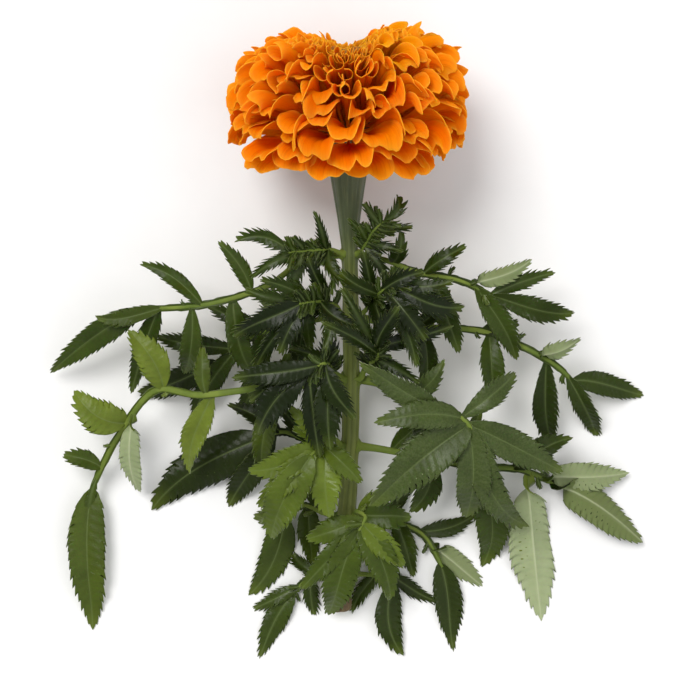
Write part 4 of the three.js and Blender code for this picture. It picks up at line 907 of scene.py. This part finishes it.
def petal_material():
    m, nt, b = new_material("marigold_petal")
    N = Nodes(nt)
    rnd, ring, edge, upper = N.attr()
    u, v, _ = N.uv()
    # fine veins that run along the blade
    vein = N.noise(N.vec(N.math("MULTIPLY", u, 1.6), N.math("MULTIPLY", v, 26.0), N.math("MULTIPLY", rnd, 40.0)), 1.0, 3.0, 0.6)
    patch = N.noise(N.vec(N.math("MULTIPLY", u, 3.0), N.math("MULTIPLY", v, 3.0), N.math("MULTIPLY", rnd, 90.0)), 1.0, 2.0, 0.5)
    # throat to lip, painted shade and painted light: the throat is painted redder as shade deep in the head, the lip a
    # little lighter where light falls
    throat_shade = (0.82, 0.130, 0.0006)
    mid = (0.80, 0.134, 0.0006)
    lip = (0.84, 0.172, 0.0006)
    col = N.mix(N.step(u, 0.30, 0.74), throat_shade, mid)
    col = N.mix(N.step(N.math("ADD", u, N.math("MULTIPLY", N.math("SUBTRACT", patch, 0.5), 0.35)), 0.64, 1.0), col, lip)
    # each floret leans a little towards red or yellow
    col = N.mix(N.math("MULTIPLY", N.step(rnd, 0.55, 1.0), 0.50), col, (0.80, 0.205, 0.0010))
    col = N.mix(N.math("MULTIPLY", N.step(rnd, 0.40, 0.0), 0.45), col, (0.70, 0.072, 0.0004))
    # veins: darker lines, strongest in the throat
    col = N.mix(N.math("MULTIPLY", N.step(vein, 0.50, 0.34), 0.28), col, (0.50, 0.046, 0.0004))
    # the inner rings are duller and browner, and painted much darker towards the florets' feet: painted shade down in
    # the crater
    inner = N.step(ring, 0.66, 0.94)
    col = N.mix(N.step(rnd, 1.0, 1.9, 0.0, 0.75), col, N.mix(N.step(u, 0.5, 0.95), (0.50, 0.130, 0.0010), (0.72, 0.270, 0.0020)))
    col = N.mix(N.math("MULTIPLY", inner, 0.80), col, N.mix(N.step(u, 0.80, 0.99), (0.17, 0.050, 0.0020), (0.36, 0.135, 0.0040)))
    # the lower side is yellower and paler
    col = N.mix(N.math("MULTIPLY", N.math("SUBTRACT", 1.0, upper, clamp=True), 0.35), col, (0.74, 0.175, 0.0015))
    # thin rims, painted paler: a painted highlight along the edges
    col = N.mix(N.math("MULTIPLY", edge, 0.62), col, (0.98, 0.370, 0.030))
    nt.links.new(col, b.inputs["Base Color"])
    rough = N.step(vein, 0.2, 0.8, 0.55, 0.70)
    nt.links.new(rough, b.inputs["Roughness"])
    b.inputs["Specular IOR Level"].default_value = 0.0
    b.inputs["Subsurface Weight"].default_value = 0.50
    b.inputs["Subsurface Radius"].default_value = (1.0, 0.42, 0.03)
    b.inputs["Subsurface Scale"].default_value = 0.0022
    nt.links.new(N.bump(N.math("ADD", vein, N.math("MULTIPLY", patch, 0.5)), 0.5, 0.00025), b.inputs["Normal"])
    return m


def disc_material():
    m, nt, b = new_material("marigold_disc")
    N = Nodes(nt)
    rnd, rad, tip, _ = N.attr()
    fine = N.noise(N.obj(), 900.0, 3.0)
    # the buds are painted dark towards their feet: painted shade in the gaps between them
    col = N.mix(tip, (0.10, 0.018, 0.002), (0.33, 0.105, 0.006))
    col = N.mix(N.math("MULTIPLY", N.step(rnd, 0.5, 1.0), N.math("MULTIPLY", tip, 0.6)), col, (0.17, 0.095, 0.010))
    col = N.mix(N.math("MULTIPLY", N.step(rad, 0.6, 1.0), N.math("MULTIPLY", tip, 0.5)), col, (0.60, 0.17, 0.010))
    col = N.mix(N.step(fine, 0.62, 0.80, 0.0, 0.4), col, (0.62, 0.26, 0.03))
    nt.links.new(col, b.inputs["Base Color"])
    nt.links.new(N.step(fine, 0.2, 0.8, 0.55, 0.75), b.inputs["Roughness"])
    b.inputs["Specular IOR Level"].default_value = 0.3
    nt.links.new(N.bump(fine, 0.5, 0.0002), b.inputs["Normal"])
    return m


def stem_material():
    m, nt, b = new_material("marigold_stem")
    N = Nodes(nt)
    s, rib, dome, cut = N.attr()
    u, v, _ = N.uv()
    obj = N.obj()
    blotch = N.noise(obj, 120.0, 4.0)
    fine = N.noise(obj, 1400.0, 2.0)
    streak = N.noise(N.vec(N.math("MULTIPLY", u, 22.0), N.math("MULTIPLY", v, 60.0), 0.0), 1.0, 3.0)
    cup = N.mix(rib, (0.036, 0.052, 0.020), (0.096, 0.122, 0.052))
    green = N.mix(rib, (0.072, 0.098, 0.012), (0.190, 0.225, 0.042))
    green = N.mix(N.step(s, 0.35, 0.85, 0.0, 0.6), green, N.mix(rib, (0.110, 0.135, 0.016), (0.240, 0.265, 0.058)))
    col = N.mix(N.step(s, 0.16, 0.34), cup, green)
    brown = N.mix(N.step(streak, 0.35, 0.65), (0.075, 0.036, 0.014), (0.150, 0.088, 0.034))
    col = N.mix(N.math("MULTIPLY", N.step(N.math("ADD", s, N.math("MULTIPLY", N.math("SUBTRACT", blotch, 0.5), 0.06)), 0.905, 0.940), 0.92), col, brown)
    col = N.mix(N.step(streak, 0.52, 0.72, 0.0, 0.35), col, (0.20, 0.23, 0.085))
    col = N.mix(N.step(blotch, 0.55, 0.80, 0.0, 0.3), col, (0.05, 0.065, 0.018))
    # stomata and hairs: tiny pale specks
    col = N.mix(N.step(fine, 0.66, 0.80, 0.0, 0.25), col, (0.28, 0.30, 0.16))
    pith = N.mix(N.step(rib, 0.55, 0.95), (0.62, 0.62, 0.42), (0.20, 0.25, 0.09))
    col = N.mix(cut, col, pith)
    # the receptacle, seen only between florets, is painted dark red-brown: painted shade deep inside the head
    col = N.mix(dome, col, (0.16, 0.050, 0.008))
    nt.links.new(col, b.inputs["Base Color"])
    nt.links.new(N.step(blotch, 0.2, 0.8, 0.42, 0.62), b.inputs["Roughness"])
    b.inputs["Specular IOR Level"].default_value = 0.4
    b.inputs["Subsurface Weight"].default_value = 0.06
    b.inputs["Subsurface Radius"].default_value = (0.5, 0.8, 0.2)
    b.inputs["Subsurface Scale"].default_value = 0.001
    h = N.math("ADD", N.math("MULTIPLY", streak, 0.7), N.math("MULTIPLY", fine, 0.5))
    nt.links.new(N.bump(h, 0.5, 0.0003), b.inputs["Normal"])
    return m


def leaf_material(name, dark, light, young):
    m, nt, b = new_material(name)
    N = Nodes(nt)
    rnd, rib, vein, upper = N.attr()
    u, v, _ = N.uv()
    obj = N.obj()
    blotch = N.noise(obj, 90.0, 4.0)
    cells = N.noise(obj, 1500.0, 2.0)
    # the lateral veins: a bright line where the vein value wraps round
    line = N.math("ABSOLUTE", N.math("SUBTRACT", vein, 0.5))
    line = N.step(line, 0.42, 0.50)
    # dark to light by the leaf's tone, whose low values are painted shade
    top = N.mix(N.step(rnd, 0.0, 0.50), dark, light)
    top = N.mix(N.step(rnd, 0.45, 1.0), top, young)
    # values over one: a lighter, greyer green, the painted sheen of a glossy leaf
    top = N.mix(N.step(rnd, 1.15, 1.35), top, N.mix(N.step(cells, 0.35, 0.65), (0.043, 0.064, 0.014), (0.063, 0.086, 0.024)))
    top = N.mix(N.step(blotch, 0.38, 0.66, 0.0, 0.55), top, N.mix(0.5, top, dark))
    top = N.mix(N.step(u, 0.75, 1.0, 0.0, 0.35), top, young)
    top = N.mix(N.math("MULTIPLY", line, 0.26), top, (0.085, 0.120, 0.035))
    top = N.mix(N.math("MULTIPLY", rib, 0.62), top, (0.135, 0.180, 0.060))
    under = N.mix(N.step(rnd, 0.05, 0.90), (0.120, 0.150, 0.050), (0.300, 0.350, 0.190))
    under = N.mix(N.step(blotch, 0.35, 0.68, 0.0, 0.6), under, N.mix(0.45, under, (0.13, 0.17, 0.06)))
    under = N.mix(N.math("MULTIPLY", line, 0.45), under, N.mix(0.5, under, (0.62, 0.66, 0.44)))
    under = N.mix(N.math("MULTIPLY", rib, 0.75), under, N.mix(0.6, under, (0.62, 0.66, 0.44)))
    stalk = N.mix(N.step(blotch, 0.30, 0.70), (0.090, 0.135, 0.018), (0.165, 0.215, 0.036))
    col = N.mix(N.step(upper, 0.45, 0.55), under, top)
    is_stalk = N.step(upper, -0.4, -0.6)
    col = N.mix(is_stalk, col, stalk)
    nt.links.new(col, b.inputs["Base Color"])
    rough = N.step(blotch, 0.25, 0.75, 0.22, 0.42)
    rough = N.math("ADD", rough, N.math("MULTIPLY", N.math("SUBTRACT", 1.0, N.step(upper, 0.0, 1.0)), 0.25))
    nt.links.new(rough, b.inputs["Roughness"])
    b.inputs["Specular IOR Level"].default_value = 0.15
    b.inputs["Subsurface Weight"].default_value = 0.06
    b.inputs["Subsurface Radius"].default_value = (0.35, 0.9, 0.10)
    b.inputs["Subsurface Scale"].default_value = 0.0012
    h = N.math("ADD", N.math("MULTIPLY", cells, 0.35), N.math("MULTIPLY", line, -0.6))
    h = N.math("ADD", h, N.math("MULTIPLY", blotch, 0.5))
    nt.links.new(N.bump(h, 0.6, 0.00035), b.inputs["Normal"])
    return m


mats = {
    "petal": petal_material(),
    "disc": disc_material(),
    "stem": stem_material(),
    # the leaf greens are kept very dark, partly painted shade of the dense foliage; the shoots' a little darker still
    "leaf": leaf_material("marigold_leaf", (0.0075, 0.0125, 0.0010), (0.035, 0.055, 0.005), (0.125, 0.165, 0.018)),
    "shoot": leaf_material("marigold_shoot", (0.006, 0.0115, 0.0008), (0.032, 0.053, 0.004), (0.115, 0.160, 0.016)),
}

make_head(mats)
make_disc(mats)
make_stem(mats)
for i, L in enumerate(LEAVES):
    make_leaf(L, i + 1, mats)

# ------------------------------------------------------------------ floor, light and camera
scene = bpy.context.scene
floor_me = bpy.data.meshes.new("floor")
floor_me.from_pydata([(-12, -12, 0), (12, -12, 0), (12, 12, 0), (-12, 12, 0)], [], [(0, 1, 2, 3)])
floor = bpy.data.objects.new("floor", floor_me)
scene.collection.objects.link(floor)
m, nt, b = new_material("floor_pale")
N = Nodes(nt)
grain = N.noise(N.obj(), 60.0, 4.0)
nt.links.new(N.mix(grain, (0.80, 0.80, 0.80), (0.84, 0.84, 0.84)), b.inputs["Base Color"])
b.inputs["Roughness"].default_value = 0.9
b.inputs["Specular IOR Level"].default_value = 0.1
floor_me.materials.append(m)


def sun(name, towards, angle, strength, colour=(1, 1, 1)):
    """A soft light as from a large panel far away in the direction towards."""
    d = bpy.data.lights.new(name, "SUN")
    d.angle = math.radians(angle)
    d.energy = strength
    d.color = colour
    o = bpy.data.objects.new(name, d)
    scene.collection.objects.link(o)
    o.location = Vector(towards)
    o.rotation_euler = (-Vector(towards)).to_track_quat("-Z", "Y").to_euler()
    return o


sun("key", (-0.38, 0.42, 1.0), 30, 2.2, (1.0, 0.985, 0.965))
sun("fill", (0.60, -0.25, 0.9), 60, 0.55, (0.97, 0.985, 1.0))

world = bpy.data.worlds.new("studio")
scene.world = world
world.use_nodes = True
bg = next(n for n in world.node_tree.nodes if n.type == "BACKGROUND")
W = Nodes(world.node_tree)
tc = world.node_tree.nodes.new("ShaderNodeTexCoord")
sep = world.node_tree.nodes.new("ShaderNodeSeparateXYZ")
world.node_tree.links.new(tc.outputs["Generated"], sep.inputs[0])
bg.inputs[0].default_value = (1.0, 1.0, 1.0, 1.0)
world.node_tree.links.new(W.step(sep.outputs[2], 0.0, 0.45, 1.04, 0.58), bg.inputs[1])

scene.view_settings.view_transform = "Standard"
scene.view_settings.look = "None"

cam_data = bpy.data.cameras.new("camera")
cam = bpy.data.objects.new("camera", cam_data)
scene.collection.objects.link(cam)
scene.camera = cam
cam_data.sensor_width = 36.0
cam_data.lens = 120.0
cam_data.clip_start, cam_data.clip_end = 0.05, 20.0
cam.location = (0.0, 0.0, 0.90)
cam.rotation_euler = (0.0, 0.0, 0.0)
